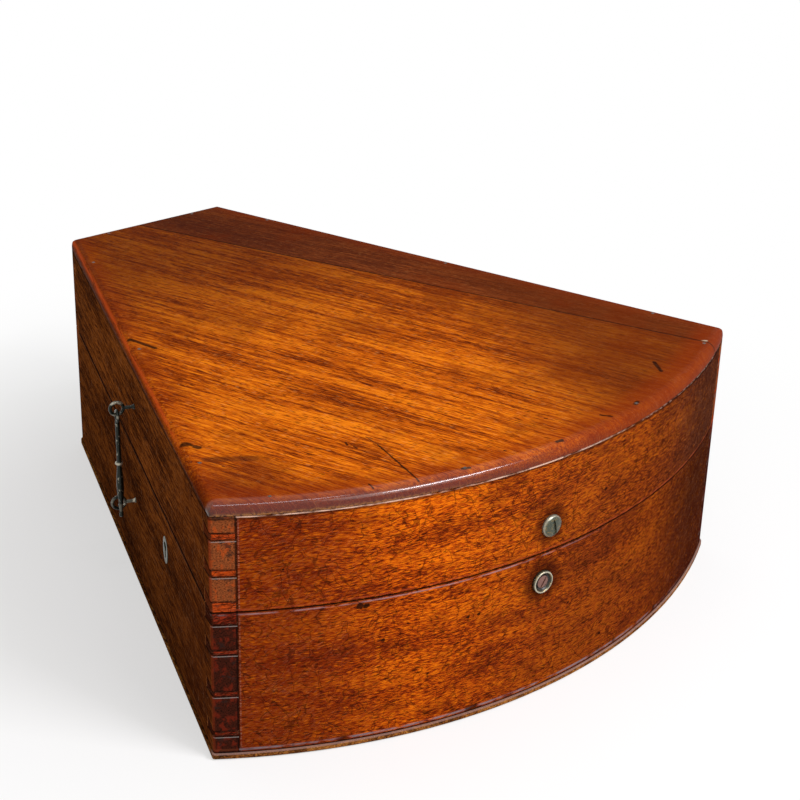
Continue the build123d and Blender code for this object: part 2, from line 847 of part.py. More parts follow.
def apex_rest_pad():
    width = apex_notch_width - 2 * apex_notch_radius - baize_margin
    height = base_board_thickness + rest_height - apex_notch_depth
    middle_y = back_y - wall_thickness - apex_rest_depth / 2
    return Pos(0, middle_y, height) * baize_strip(width, apex_rest_depth - 2 * baize_margin)


def limb_rest():
    """Notched block beside the left wall."""
    section = notched_section(
        limb_rest_width,
        rest_height,
        limb_notch_inset,
        limb_notch_width,
        limb_notch_depth,
        limb_notch_radius,
    )
    start = limb_rest_place - limb_rest_length / 2
    foot = side_start + side_along * start + side_inward * wall_thickness
    foot = foot + Vector(0, 0, base_board_thickness)
    plane = Plane(origin=foot, x_dir=side_inward, z_dir=side_along)
    return extrude(plane * section, limb_rest_length)


def limb_rest_pad():
    width = limb_notch_width - 2 * limb_notch_radius - baize_margin
    inset = wall_thickness + limb_notch_inset + limb_notch_width / 2
    height = base_board_thickness + rest_height - limb_notch_depth
    foot = side_start + side_along * limb_rest_place + side_inward * inset + Vector(0, 0, height)
    plane = Plane(origin=foot, x_dir=side_inward, z_dir=(0, 0, 1))
    return plane * baize_strip(width, limb_rest_length - 2 * baize_margin)


def lid_rest():
    """Block under the top that keeps what lies in the case from lifting."""
    inset = wall_thickness + lid_rest_inset
    span = (lid_rest_place - lid_rest_length / 2, lid_rest_place + lid_rest_length / 2)
    block = side_box(span, (top_joint - lid_rest_drop, top_joint), (-inset - lid_rest_width, -inset))
    return fillet(block.edges().group_by(Axis.Z)[0], rest_edge_radius)


def lid_rest_pad():
    inset = wall_thickness + lid_rest_inset + lid_rest_width / 2
    foot = side_start + side_along * lid_rest_place + side_inward * inset
    foot = foot + Vector(0, 0, top_joint - lid_rest_drop)
    plane = Plane(origin=foot, x_dir=side_inward, z_dir=(0, 0, -1))
    width = lid_rest_width - 2 * rest_edge_radius - baize_margin
    return plane * baize_strip(width, lid_rest_length - 2 * rest_edge_radius - baize_margin)


def brads(z_low):
    """Square cut brads along the middle of the walls, standing on z_low."""
    places = []
    for place in side_brad_places:
        foot = side_start + side_along * place + side_inward * (wall_thickness / 2)
        places += [(foot.X, foot.Y), (-foot.X, foot.Y)]
    for x in narrow_brad_places:
        places.append((x, back_y - wall_thickness / 2))
    for angle in front_brad_angles:
        reach = front_radius - wall_thickness / 2
        turn = radians(angle)
        places.append((reach * sin(turn), arc_centre.Y - reach * cos(turn)))
    brad = Box(brad_width, brad_width, brad_length, align=(Align.CENTER, Align.CENTER, Align.MIN))
    return [Pos(x, y, z_low) * brad for x, y in places]


def cut(shape, tools):
    for tool in tools:
        shape = shape - tool
    return shape


def build():
    """Every piece of the case, by the name of its node."""
    base_bands = tail_bands(
        base_board_thickness, base_rim, base_tail_shares, base_pin_height, base_edge_pin_height
    )
    lid_bands = tail_bands(top_joint, lid_rim, lid_tail_shares, lid_pin_height, lid_edge_pin_height)
    base_walls = wall_boards(wall_ring(base_board_thickness, base_rim, 0, rim_chamfer), base_bands)
    lid_walls = wall_boards(wall_ring(lid_rim, top_joint, rim_chamfer, 0), lid_bands)

    low_brads = brads(0)
    high_brads = brads(case_height - brad_length)
    low_hinge_screws = [s for place in hinge_places.values() for s in hinge_screws(place, False)]
    high_hinge_screws = [s for place in hinge_places.values() for s in hinge_screws(place, True)]
    low_hinge_screws = [mirrored(screw) for screw in low_hinge_screws]
    high_hinge_screws = [mirrored(screw) for screw in high_hinge_screws]

    for place in hinge_places.values():
        recess = mirrored(hinge_recess(place))
        base_walls["right"] = base_walls["right"] - recess
        lid_walls["right"] = lid_walls["right"] - recess
        for up, walls in ((False, base_walls), (True, lid_walls)):
            holes = [mirrored(screw) for screw in hinge_screws(place, up, seat_clearance)]
            walls["right"] = cut(walls["right"], holes)

    lock_tools = [lock_plate_blank(), lock_case_blank(), escutcheon_blank()]
    lock_tools += [key_hole(lock_middle(), overrun)] + lock_screws(seat_clearance) + escutcheon_pins()
    lock_tools.append(eye_shank(lower_eye_place, lower_eye_height, seat_clearance))
    base_walls["left"] = cut(base_walls["left"], lock_tools)
    link_tools = [link_plate_blank()] + link_screws(seat_clearance)
    link_tools.append(eye_shank(upper_eye_place, upper_eye_height, seat_clearance))
    lid_walls["left"] = cut(lid_walls["left"], link_tools)

    cup_seat = front_seat(front_plane(cup_arc_place, cup_height), cup_radius)
    stud_seat = front_seat(front_plane(stud_arc_place, stud_height), stud_radius)
    base_walls["front"] = base_walls["front"] - cup_seat
    lid_walls["front"] = lid_walls["front"] - stud_seat

    nodes = {}
    for name, board in base_boards().items():
        nodes["base_board_" + name] = cut(board, low_brads)
    for name, wall in base_walls.items():
        nodes["base_wall_" + name] = cut(wall, low_brads)
    for name, board in lid_boards().items():
        nodes["lid_board_" + name] = cut(board, high_brads)
    for name, wall in lid_walls.items():
        nodes["lid_wall_" + name] = cut(wall, high_brads)
    for name, place in hinge_places.items():
        nodes["hinge_" + name + "_base_leaf"] = hinge_leaf(place, False)
        nodes["hinge_" + name + "_lid_leaf"] = hinge_leaf(place, True)
        nodes["hinge_" + name + "_pin"] = hinge_pin(place)
    nodes["hinge_base_screws"] = Compound(low_hinge_screws)
    nodes["hinge_lid_screws"] = Compound(high_hinge_screws)
    nodes["lock_plate"] = lock_plate()
    nodes["lock_case"] = lock_case()
    nodes["lock_bolt"] = lock_bolt()
    nodes["lock_screws"] = Compound(lock_screws())
    nodes["lock_link_plate"] = link_plate()
    nodes["lock_link_screws"] = Compound(link_screws())
    nodes["escutcheon"] = escutcheon()
    nodes["escutcheon_pins"] = Compound(escutcheon_pins())
    nodes["upper_eye"] = screw_eye(upper_eye_place, upper_eye_height)
    nodes["lower_eye"] = screw_eye(lower_eye_place, lower_eye_height)
    nodes["hook"] = hook()
    nodes["front_stud"] = front_stud()
    nodes["front_cup"] = front_cup()
    nodes["front_cup_screw"] = front_cup_screw()
    nodes["apex_rest"] = apex_rest()
    nodes["apex_rest_pad"] = apex_rest_pad()
    nodes["limb_rest_left"] = limb_rest()
    nodes["limb_rest_left_pad"] = limb_rest_pad()
    nodes["limb_rest_right"] = mirrored(limb_rest())
    nodes["limb_rest_right_pad"] = mirrored(limb_rest_pad())
    nodes["lid_rest_left"] = lid_rest()
    nodes["lid_rest_left_pad"] = lid_rest_pad()
    nodes["lid_rest_right"] = mirrored(lid_rest())
    nodes["lid_rest_right_pad"] = mirrored(lid_rest_pad())
    nodes["base_board_brads"] = Compound(low_brads)
    nodes["lid_board_brads"] = Compound(high_brads)
    return nodes


os.makedirs("parts", exist_ok=True)
for node_name, node_shape in build().items():
    export_step(node_shape, "parts/" + node_name + ".step")
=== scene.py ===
from functools import reduce
from math import atan2, cos, hypot, pi, radians, sin, sqrt
from types import SimpleNamespace

import bmesh
import bpy
from mathutils import Matrix, Vector


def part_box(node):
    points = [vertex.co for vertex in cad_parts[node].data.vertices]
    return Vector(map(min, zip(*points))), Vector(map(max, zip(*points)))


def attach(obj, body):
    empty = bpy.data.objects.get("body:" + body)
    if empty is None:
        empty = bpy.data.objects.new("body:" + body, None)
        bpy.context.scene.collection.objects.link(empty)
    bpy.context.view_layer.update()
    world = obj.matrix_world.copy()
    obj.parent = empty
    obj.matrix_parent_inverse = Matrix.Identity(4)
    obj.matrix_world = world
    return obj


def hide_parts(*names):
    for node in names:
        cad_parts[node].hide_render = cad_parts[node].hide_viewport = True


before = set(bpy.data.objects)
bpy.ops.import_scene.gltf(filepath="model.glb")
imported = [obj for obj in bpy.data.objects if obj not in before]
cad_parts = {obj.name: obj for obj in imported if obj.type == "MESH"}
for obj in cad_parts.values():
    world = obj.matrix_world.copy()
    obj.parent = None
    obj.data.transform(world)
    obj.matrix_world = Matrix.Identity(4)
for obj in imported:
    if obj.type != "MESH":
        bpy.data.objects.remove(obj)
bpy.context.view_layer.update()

bl_info = {
    "name": "Wedge-shaped instrument case",
    "version": (1, 0, 0),
    "blender": (4, 5, 0),
    "location": "3D View > Sidebar > Case",
    "description": "Finishes the dovetailed mahogany case: woods, brass, hook, lock and baize",
    "category": "Object",
}

# Sizes of the case in millimetres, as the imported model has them
MM = 0.001
CASE_LENGTH = 352.0
NARROW_WIDTH = 99.5
FRONT_WIDTH = 319.0
FRONT_RADIUS = 287.3
WALL = 11.0
TOP_JOINT = 124.0
SPLIT = 77.0
BASE_JOINT = 3.5

# Depth of the bump of pores and pits, in metres
FINE_BUMP = 0.00006

half_narrow = NARROW_WIDTH / 2
half_front = FRONT_WIDTH / 2
sagitta = FRONT_RADIUS - sqrt(FRONT_RADIUS**2 - half_front**2)
back_y = CASE_LENGTH / 2
chord_y = sagitta - CASE_LENGTH / 2
arc_y = FRONT_RADIUS - CASE_LENGTH / 2
lean = atan2(half_front - half_narrow, back_y - chord_y)
side_length = hypot(half_front - half_narrow, back_y - chord_y)
side_start = Vector((-half_narrow, back_y, 0))
side_along = Vector((-sin(lean), -cos(lean), 0))
side_inward = Vector((cos(lean), -sin(lean), 0))


WHITE = (1.0, 1.0, 1.0, 1.0)


def linear(red, green, blue):
    """Colour from its 0 to 255 values on screen."""
    shares = [value / 255 for value in (red, green, blue)]
    return tuple(v / 12.92 if v < 0.0404 else ((v + 0.055) / 1.055) ** 2.4 for v in shares)


def tones(**values):
    """Named colours from their values on screen."""
    return SimpleNamespace(**{name: linear(*value) for name, value in values.items()})


# Colours of single marks, of painted shade and painted highlights, and of worn places
TONE = tones(
    # top
    # the right tone is painted shade on the right of the top
    fleck=(232, 152, 84), right=(92, 38, 12), corner=(84, 30, 17), edge=(132, 44, 10),
    # tan and orange are painted highlights: on the foot of the thumb edge and on the left arris
    far_band=(108, 38, 17), tan=(150, 98, 44), tan_speck=(70, 34, 18), orange=(232, 92, 34),
    dot=(188, 168, 140), smear=(58, 22, 14), scuff=(225, 150, 90),
    # curved front
    # the left tone is painted shade at the left end of the front
    left=(92, 26, 8), beside=(150, 120, 110), stain=(44, 13, 8), front_scuff=(190, 130, 96),
    # side and end walls
    near_front=(70, 28, 10), far_side=(84, 50, 32), tail_dark=(70, 34, 20),
    # tail glint: painted highlight beside the dovetails' edges
    base_tail=(64, 28, 18), tail_stain=(44, 30, 26), tail_glint=(156, 146, 140),
    # split and low glints: painted highlights on the rounded edges of the walls
    arris=(152, 62, 30), side_scuff=(176, 130, 96), split_glint=(150, 104, 84),
    low_glint=(128, 66, 40),
    # bottom and rests
    bottom_dark=(66, 34, 14), bottom=(128, 76, 32), bottom_light=(172, 116, 54),
    # step: painted highlight on the top edge of the bottom boards
    step=(150, 118, 108), rest_dark=(104, 54, 24), rest=(160, 94, 46),
    rest_light=(192, 124, 66),
    # metal and baize
    # the rubbed tone is painted highlight and rubbed brass; the brass grime is grime and painted
    # shade in the cup's recess
    pit=(26, 24, 20), rubbed=(206, 198, 176), brass_grime=(20, 13, 10), copper=(112, 80, 72),
    # the hook's skin is tarnish with a painted dark reflection
    hook_skin=(27, 31, 26), rust=(96, 56, 34), baize_dark=(22, 48, 32), tuft=(66, 98, 66),
)
# the far end tones are painted shade at the right end of the curved front
LID_TONE = tones(
    far_end=(50, 26, 19), pin_dark=(84, 28, 12), pin=(190, 72, 22), pin_end=(74, 36, 18),
    split_glint=(210, 172, 150), low_glint=(156, 66, 40), patch=(176, 72, 24),
)
BASE_TONE = tones(
    far_end=(28, 12, 8), pin_dark=(50, 18, 12), pin=(140, 42, 22), pin_end=(46, 21, 12),
    split_glint=(158, 122, 122), low_glint=(126, 116, 122), patch=(110, 34, 18),
)


def side_point(along, up, out):
    """Point by the left wall, in metres: along it from the narrow end, up, and outward."""
    point = side_start + side_along * along - side_inward * out
    return Vector((point.x, point.y, up)) * MM


def side_frame(along, up, out):
    """Matrix whose X runs along the left wall, Y up and Z outward."""
    turn = Matrix((side_along, (0, 0, 1), -side_inward)).transposed().to_4x4()
    return Matrix.Translation(side_point(along, up, out)) @ turn


def front_frame(arc_place, up, out):
    """Matrix on the curved front whose X runs along the arc, Y up and Z outward."""
    turn = arc_place / FRONT_RADIUS
    outward = Vector((sin(turn), -cos(turn), 0))
    along = Vector((cos(turn), sin(turn), 0))
    foot = Vector((0, arc_y, 0)) + outward * (FRONT_RADIUS + out)
    rotation = Matrix((along, (0, 0, 1), outward)).transposed().to_4x4()
    return Matrix.Translation(Vector((foot.x, foot.y, up)) * MM) @ rotation


# ---- settings


def colour(name, description, *screen):
    return bpy.props.FloatVectorProperty(
        name=name,
        description=description,
        default=linear(*screen),
        subtype="COLOR",
        size=3,
        min=0.0,
        max=1.0,
    )


def number(name, description, default, **units):
    return bpy.props.FloatProperty(
        name=name, description=description, default=default, min=0.0, **units
    )


def share(name, description, default):
    return number(name, description, default, subtype="FACTOR", max=1.0)


class CaseWood(bpy.types.PropertyGroup):
    """Colours and wear of the mahogany."""

    top_light: colour("Top, light", "Light strands of the polished top", 236, 128, 20)
    top: colour("Top", "Polished mahogany of the top", 190, 86, 9)
    top_shade: colour("Top, dark", "Dark strands of the top", 104, 36, 6)
    strip_light: colour("Strip, light", "Light strands of the redder board of the top", 164, 82, 34)
    strip: colour("Strip", "Redder board along the right of the top", 116, 52, 20)
    strip_shade: colour("Strip, dark", "Dark strands of that board", 70, 27, 13)
    front_light: colour("Front, light", "Light strands of the curved front", 236, 120, 14)
    front: colour("Front", "Curved front", 186, 72, 9)
    front_shade: colour("Front, dark", "Dark strands of the curved front", 84, 23, 8)
    # painted shade: the side walls' colours are darker than the top and the front, a shaded copy of
    # the mahogany for walls facing away from the light
    side_light: colour("Sides, light", "Light strands of the side walls", 146, 80, 30)
    side: colour("Sides", "Straight side walls", 98, 49, 18)
    side_shade: colour("Sides, dark", "Dark strands of the side walls", 44, 19, 9)
    end_grain: colour("End grain", "End grain of the dovetails", 142, 75, 38)
    inside: colour("Inside", "Unpolished wood inside", 164, 98, 52)
    inside_shade: colour("Inside, dark", "Dark strands of the unpolished wood", 112, 60, 30)
    band: colour("Thumb band", "Purple-red polish on the rounded edge", 90, 29, 17)
    # grime is also laid as painted shadow in the gap between lid and base
    grime_and_shade: colour("Grime", "Dark dirt in joints and corners", 22, 11, 8)
    pore: colour("Pores", "Short dark pores of the wood", 48, 16, 6)
    wear: share("Wear", "How strongly the worn lines and scratches show", 0.7)
    # painted shade: the right end of the front is darker, where it turns away from the light
    far_shade: colour("Front, far end", "Right end of the front, with its dark polish", 72, 34, 16)
    arris: number("Arris", "Width of the rounding on the boards' edges", 0.0004, unit="LENGTH")


class CaseMetal(bpy.types.PropertyGroup):
    """Colours of the fittings."""

    brass: colour("Brass", "Clean brass of the hinges and the lock", 196, 158, 88)
    tarnish: colour("Tarnish", "Green-grey skin on the old fittings", 66, 70, 60)
    steel: colour("Steel", "Steel of the brads", 80, 70, 62)


class CaseCloth(bpy.types.PropertyGroup):
    """Colour and nap of the baize."""

    baize: colour("Baize", "Green woollen baize on the rests", 38, 74, 48)
    nap: share("Nap", "How rough the face of the baize is", 0.6)


class CaseStage(bpy.types.PropertyGroup):
    """Floor, light and camera."""

    floor: colour("Floor", "Plain pale floor", 244, 243, 240)
    key_power: number("Key light", "Power of the large lamp in front", 5.0, unit="POWER")
    strip_power: number(
        "Strip light", "Power of the long lamp above the front edge", 17.0, unit="POWER"
    )
    sky: share("Sky", "Strength of the even light all round", 0.4)
    lens: number(
        "Lens", "Focal length of the camera", 0.08194, subtype="DISTANCE_CAMERA", unit="CAMERA"
    )


# ---- materials


class Wire:
    """A socket, with the arithmetic of shader maths."""

    def __init__(self, tree, socket):
        self.tree = tree
        self.socket = socket

    def maths(self, operation, *values, clamp=False):
        settings = {"operation": operation, "use_clamp": clamp}
        return self.tree.node("ShaderNodeMath", settings, dict(enumerate(values)))

    def __abs__(self):
        return self.maths("ABSOLUTE", self)

    def clamped(self):
        return self.maths("ADD", self, 0.0, clamp=True)

    def least(self, other):
        return self.maths("MINIMUM", self, other)

    def most(self, other):
        return self.maths("MAXIMUM", self, other)

    def rising(self, low, high):
        """0 below low, 1 above high, and smooth between."""
        settings = {"interpolation_type": "SMOOTHSTEP", "clamp": True}
        return self.tree.node("ShaderNodeMapRange", settings, {0: self, 1: low, 2: high})

    def falling(self, low, high):
        return 1 - self.rising(low, high)

    def within(self, low, high, soft):
        """1 between two values, with soft ends."""
        return self.rising(low - soft, low + soft) * self.falling(high - soft, high + soft)


def add_operator(name, operation):
    """Give Wire an operator and its reflected form."""
    setattr(Wire, f"__{name}__", lambda self, other: self.maths(operation, self, other))
    setattr(Wire, f"__r{name}__", lambda self, other: self.maths(operation, other, self))


for name, operation in (
    ("add", "ADD"),
    ("sub", "SUBTRACT"),
    ("mul", "MULTIPLY"),
    ("truediv", "DIVIDE"),
    ("pow", "POWER"),
):
    add_operator(name, operation)


class Tree:
    """Nodes of a material or of the world."""

    def __init__(self, node_tree):
        self.nodes = node_tree.nodes
        self.links = node_tree.links
        self.nodes.clear()

    def fill(self, socket, value):
        """Give a socket its value or its wire."""
        if isinstance(value, Wire):
            self.links.new(value.socket, socket)
        else:
            socket.default_value = value

    def node(self, kind, settings, sockets, output=0):
        """A node of this kind: its settings first, then what its sockets get."""
        node = self.nodes.new(kind)
        for name, value in settings.items():
            setattr(node, name, value)
        for key, value in sockets.items():
            self.fill(node.inputs[key], value)
        return node if output is None else Wire(self, node.outputs[output])

    def seen(self):
        """1 for what the camera and reflections see, 0 for what lights the case."""
        camera, glossy, clear = (
            self.node("ShaderNodeLightPath", {}, {}, f"Is {ray} Ray")
            for ray in ("Camera", "Glossy", "Transmission")
        )
        return camera.most(glossy).most(clear)


class Finish(Tree):
    """One material, its nodes and its colour so far."""

    def __init__(self, name, **shader):
        self.material = bpy.data.materials.new(name)
        self.material.use_nodes = True
        super().__init__(self.material.node_tree)
        self.shader = self.node("ShaderNodeBsdfPrincipled", {}, {}, None)
        self.surface = Wire(self, self.shader.outputs[0])
        self.output = self.node("ShaderNodeOutputMaterial", {}, {0: self.surface}, None)
        self.colour = None
        self.set(**shader)

    def set(self, **values):
        """Give sockets of the shader their values or wires."""
        for name, value in values.items():
            self.fill(self.shader.inputs[name.replace("_", " ")], value)

    def place(self):
        """X, Y and Z on the case, in millimetres."""
        point = self.node("ShaderNodeTexCoord", {}, {}, "Object")
        parts = (self.node("ShaderNodeSeparateXYZ", {}, {0: point}, axis) for axis in range(3))
        return [part * 1000 for part in parts]

    def hairs(self, x, y, z, detail, rough, high, low=0.002, level=0.5):
        """Mask of thin lines where a noise crosses a level."""
        return abs(self.noise(x, y, z, detail, rough) - level).falling(low, high)

    def vector(self, x, y, z):
        return self.node("ShaderNodeCombineXYZ", {}, {0: x, 1: y, 2: z})

    def noise(self, x, y, z, detail=2.0, rough=0.5, scale=1.0):
        place = self.vector(x, y, z)
        sockets = {"Vector": place, "Scale": scale, "Detail": detail, "Roughness": rough}
        return self.node("ShaderNodeTexNoise", {}, sockets, "Fac")

    def mix(self, mask, first, second):
        """First colour where the mask is 0, second where it is 1."""
        ends = [tone if isinstance(tone, Wire) else (*tone, 1.0) for tone in (first, second)]
        sockets = {0: mask, 6: ends[0], 7: ends[1]}
        return self.node("ShaderNodeMix", {"data_type": "RGBA"}, sockets, 2)

    def lay(self, mask, tone):
        """Lay a colour over the colour so far."""
        self.colour = self.mix(mask, self.colour, tone)

    def bump(self, height, depth=FINE_BUMP):
        """Normal from a height map; depth is in metres."""
        sockets = {"Height": height, "Distance": depth, "Strength": 1.0}
        return self.node("ShaderNodeBump", {}, sockets)

    def stroke(self, x, y, start, end, width, wobble=None):
        """Mask of a short scratch from start to end in the plane of x and y."""
        run = (end[0] - start[0], end[1] - start[1])
        square = run[0] ** 2 + run[1] ** 2
        across = x - start[0]
        up = y - start[1]
        along = ((across * run[0] + up * run[1]) / square).clamped()
        away_x = across - along * run[0]
        away_y = up - along * run[1]
        away = (away_x * away_x + away_y * away_y) ** 0.5
        if wobble is not None:
            away = away + wobble
        return away.falling(width * 0.5, width * 1.3)


def begin(name):
    """A new finish, the settings of the wood, and X, Y and Z on the case."""
    finish = Finish(name)
    return finish, bpy.context.scene.case_wood, *finish.place()


def strongest(masks):
    """The largest of several masks at each point."""
    return reduce(Wire.most, masks)


def along_side(x, y):
    """Run along the nearer side wall and depth in from its face."""
    out = abs(x) - half_narrow
    down = back_y - y
    run = out * sin(lean) + down * cos(lean)
    depth = down * sin(lean) - out * cos(lean)
    return run, depth


def along_front(finish, x, y):
    """Run along the curved front and depth in from its face."""
    down = arc_y - y
    reach = (x * x + down * down) ** 0.5
    turn = finish.node("ShaderNodeMath", {"operation": "ARCTAN2"}, {0: x, 1: down})
    return turn * FRONT_RADIUS, FRONT_RADIUS - reach


def grain(finish, run, across, depth, colours, streak, wave, seed, strand, fine=0.62):
    """Mahogany from dark, middle and light colours: broad tone, streaks and short strands."""
    dark, middle, light = colours
    sway = finish.noise(run / 70 + seed, across / 40, depth / 40) - 0.5
    bent = across + sway * (8.0 * wave)
    broad = finish.noise(run / 90 + seed, bent / 22, depth / 22, 3.0, 0.6).rising(0.34, 0.66)
    bands = finish.noise(run / 90, bent / 1.9 + seed, depth / 1.9, 2.0, 0.6).rising(0.34, 0.66)
    small = finish.noise(run / 11, bent / 3.0, depth / 3.0 + seed) - 0.5
    wavy = bent + small * 2.2
    fibre = finish.noise(run / strand, wavy / fine, depth / fine + seed, 3.0, 0.7)
    strands = fibre.rising(0.33, 0.67) * (0.74 - 0.26 * streak)
    tone = broad * 0.26 + bands * (0.26 * streak) + strands
    finish.colour = finish.mix(tone.rising(0.18, 0.52), dark, middle)
    finish.lay(tone.rising(0.48, 0.82), light)
    return tone, fibre, wavy


def pores(finish, run, across, depth, length, width, share_here):
    """Mask of short dark dashes along the grain."""
    place = finish.vector(run / length, across / width, depth / width)
    cells = finish.node("ShaderNodeTexVoronoi", {}, {"Vector": place, "Scale": 1.0}, None)
    away = Wire(finish, cells.outputs["Distance"])
    pick = finish.node("ShaderNodeSeparateColor", {}, {0: Wire(finish, cells.outputs["Color"])})
    return away.falling(0.16, 0.36) * pick.falling(share_here - 0.04, share_here + 0.04)


def finish_wood(finish, fibre, dashes, rough, gloss=0.0, **coat):
    """Last coat: a thin old polish broken by fibres and pores, with a thicker coat if given."""
    finish.set(
        Base_Color=finish.colour,
        Roughness=(rough + (fibre - 0.5) * 0.3 + dashes * 0.25).clamped(),
        Normal=finish.bump(fibre * 0.5 - dashes),
        Specular_IOR_Level=gloss,
        **coat,
    )
    return finish.material


def inside_tone(finish, tone, dashes):
    """Colour of the dry, unpolished wood inside the case."""
    wood = bpy.context.scene.case_wood
    pale = finish.mix(tone.rising(0.25, 0.75), wood.inside_shade, wood.inside)
    return finish.mix(dashes * 0.5, pale, wood.pore)


TAIL_SLOPE = 1 / 7
LID_TAILS = (TOP_JOINT, SPLIT + 0.15, (0.22, 0.42, 0.36), 3.5, 5.5)
BASE_TAILS = (BASE_JOINT, SPLIT - 0.15, (0.155, 0.312, 0.320, 0.213), 2.7, 6.0)


def dovetail_edges(is_lid):
    """Height at the wall's end and lean of each edge between a tail and a pin."""
    outer_z, split_z, shares, pin, edge_pin = LID_TAILS if is_lid else BASE_TAILS
    way = 1 if split_z > outer_z else -1
    height = abs(split_z - outer_z) - edge_pin - pin * (len(shares) - 1)
    edges = []
    start = outer_z
    for number, portion in enumerate(shares):
        end = start + way * height * portion
        if number > 0:
            edges.append((start, way * TAIL_SLOPE))
        edges.append((end, -way * TAIL_SLOPE))
        start = end + way * pin
    return edges


def joint_lines(z, into, is_lid, width=0.35, shift=0.0):
    """Mask of the lines between tails and pins, a distance into the wall from its end."""
    away = (abs(z - (height + shift) - into * slope) for height, slope in dovetail_edges(is_lid))
    lines = strongest([line.falling(width * 0.5, width * 1.4) for line in away])
    return lines * into.falling(WALL, WALL + 0.8)


# Marks on the top in millimetres: start, end, width
MARKS = (
    ((-68.4, -126.2), (-75.1, -162.8), 0.5),
    ((-68.0, -117.3), (-68.4, -126.2), 0.25),
    ((-94.3, -152.6), (-94.9, -156.4), 0.5),
    ((-78.7, -116.1), (-79.6, -118.4), 0.6),
    ((-78.2, -121.4), (-77.9, -123.4), 0.5),
    ((10.1, -151.1), (10.8, -151.9), 0.5),
    ((-26.5, -164.0), (-26.1, -164.6), 0.5),
    ((-96.8, 36.8), (-92.2, 20.0), 1.3),
    ((-137.2, -74.4), (-136.0, -76.4), 1.9),
    ((-136.0, -76.4), (-134.2, -81.2), 1.0),
    ((-134.6, -80.2), (-134.0, -81.6), 1.7),
    ((96.9, -137.3), (92.0, -146.7), 1.1),
    ((33.3, -163.7), (36.7, -168.0), 0.7),
    ((-1.6, -171.6), (1.4, -171.8), 1.1),
    ((-52.8, -166.0), (-50.0, -166.8), 1.1),
    ((55.0, -165.2), (57.6, -164.2), 1.2),
)


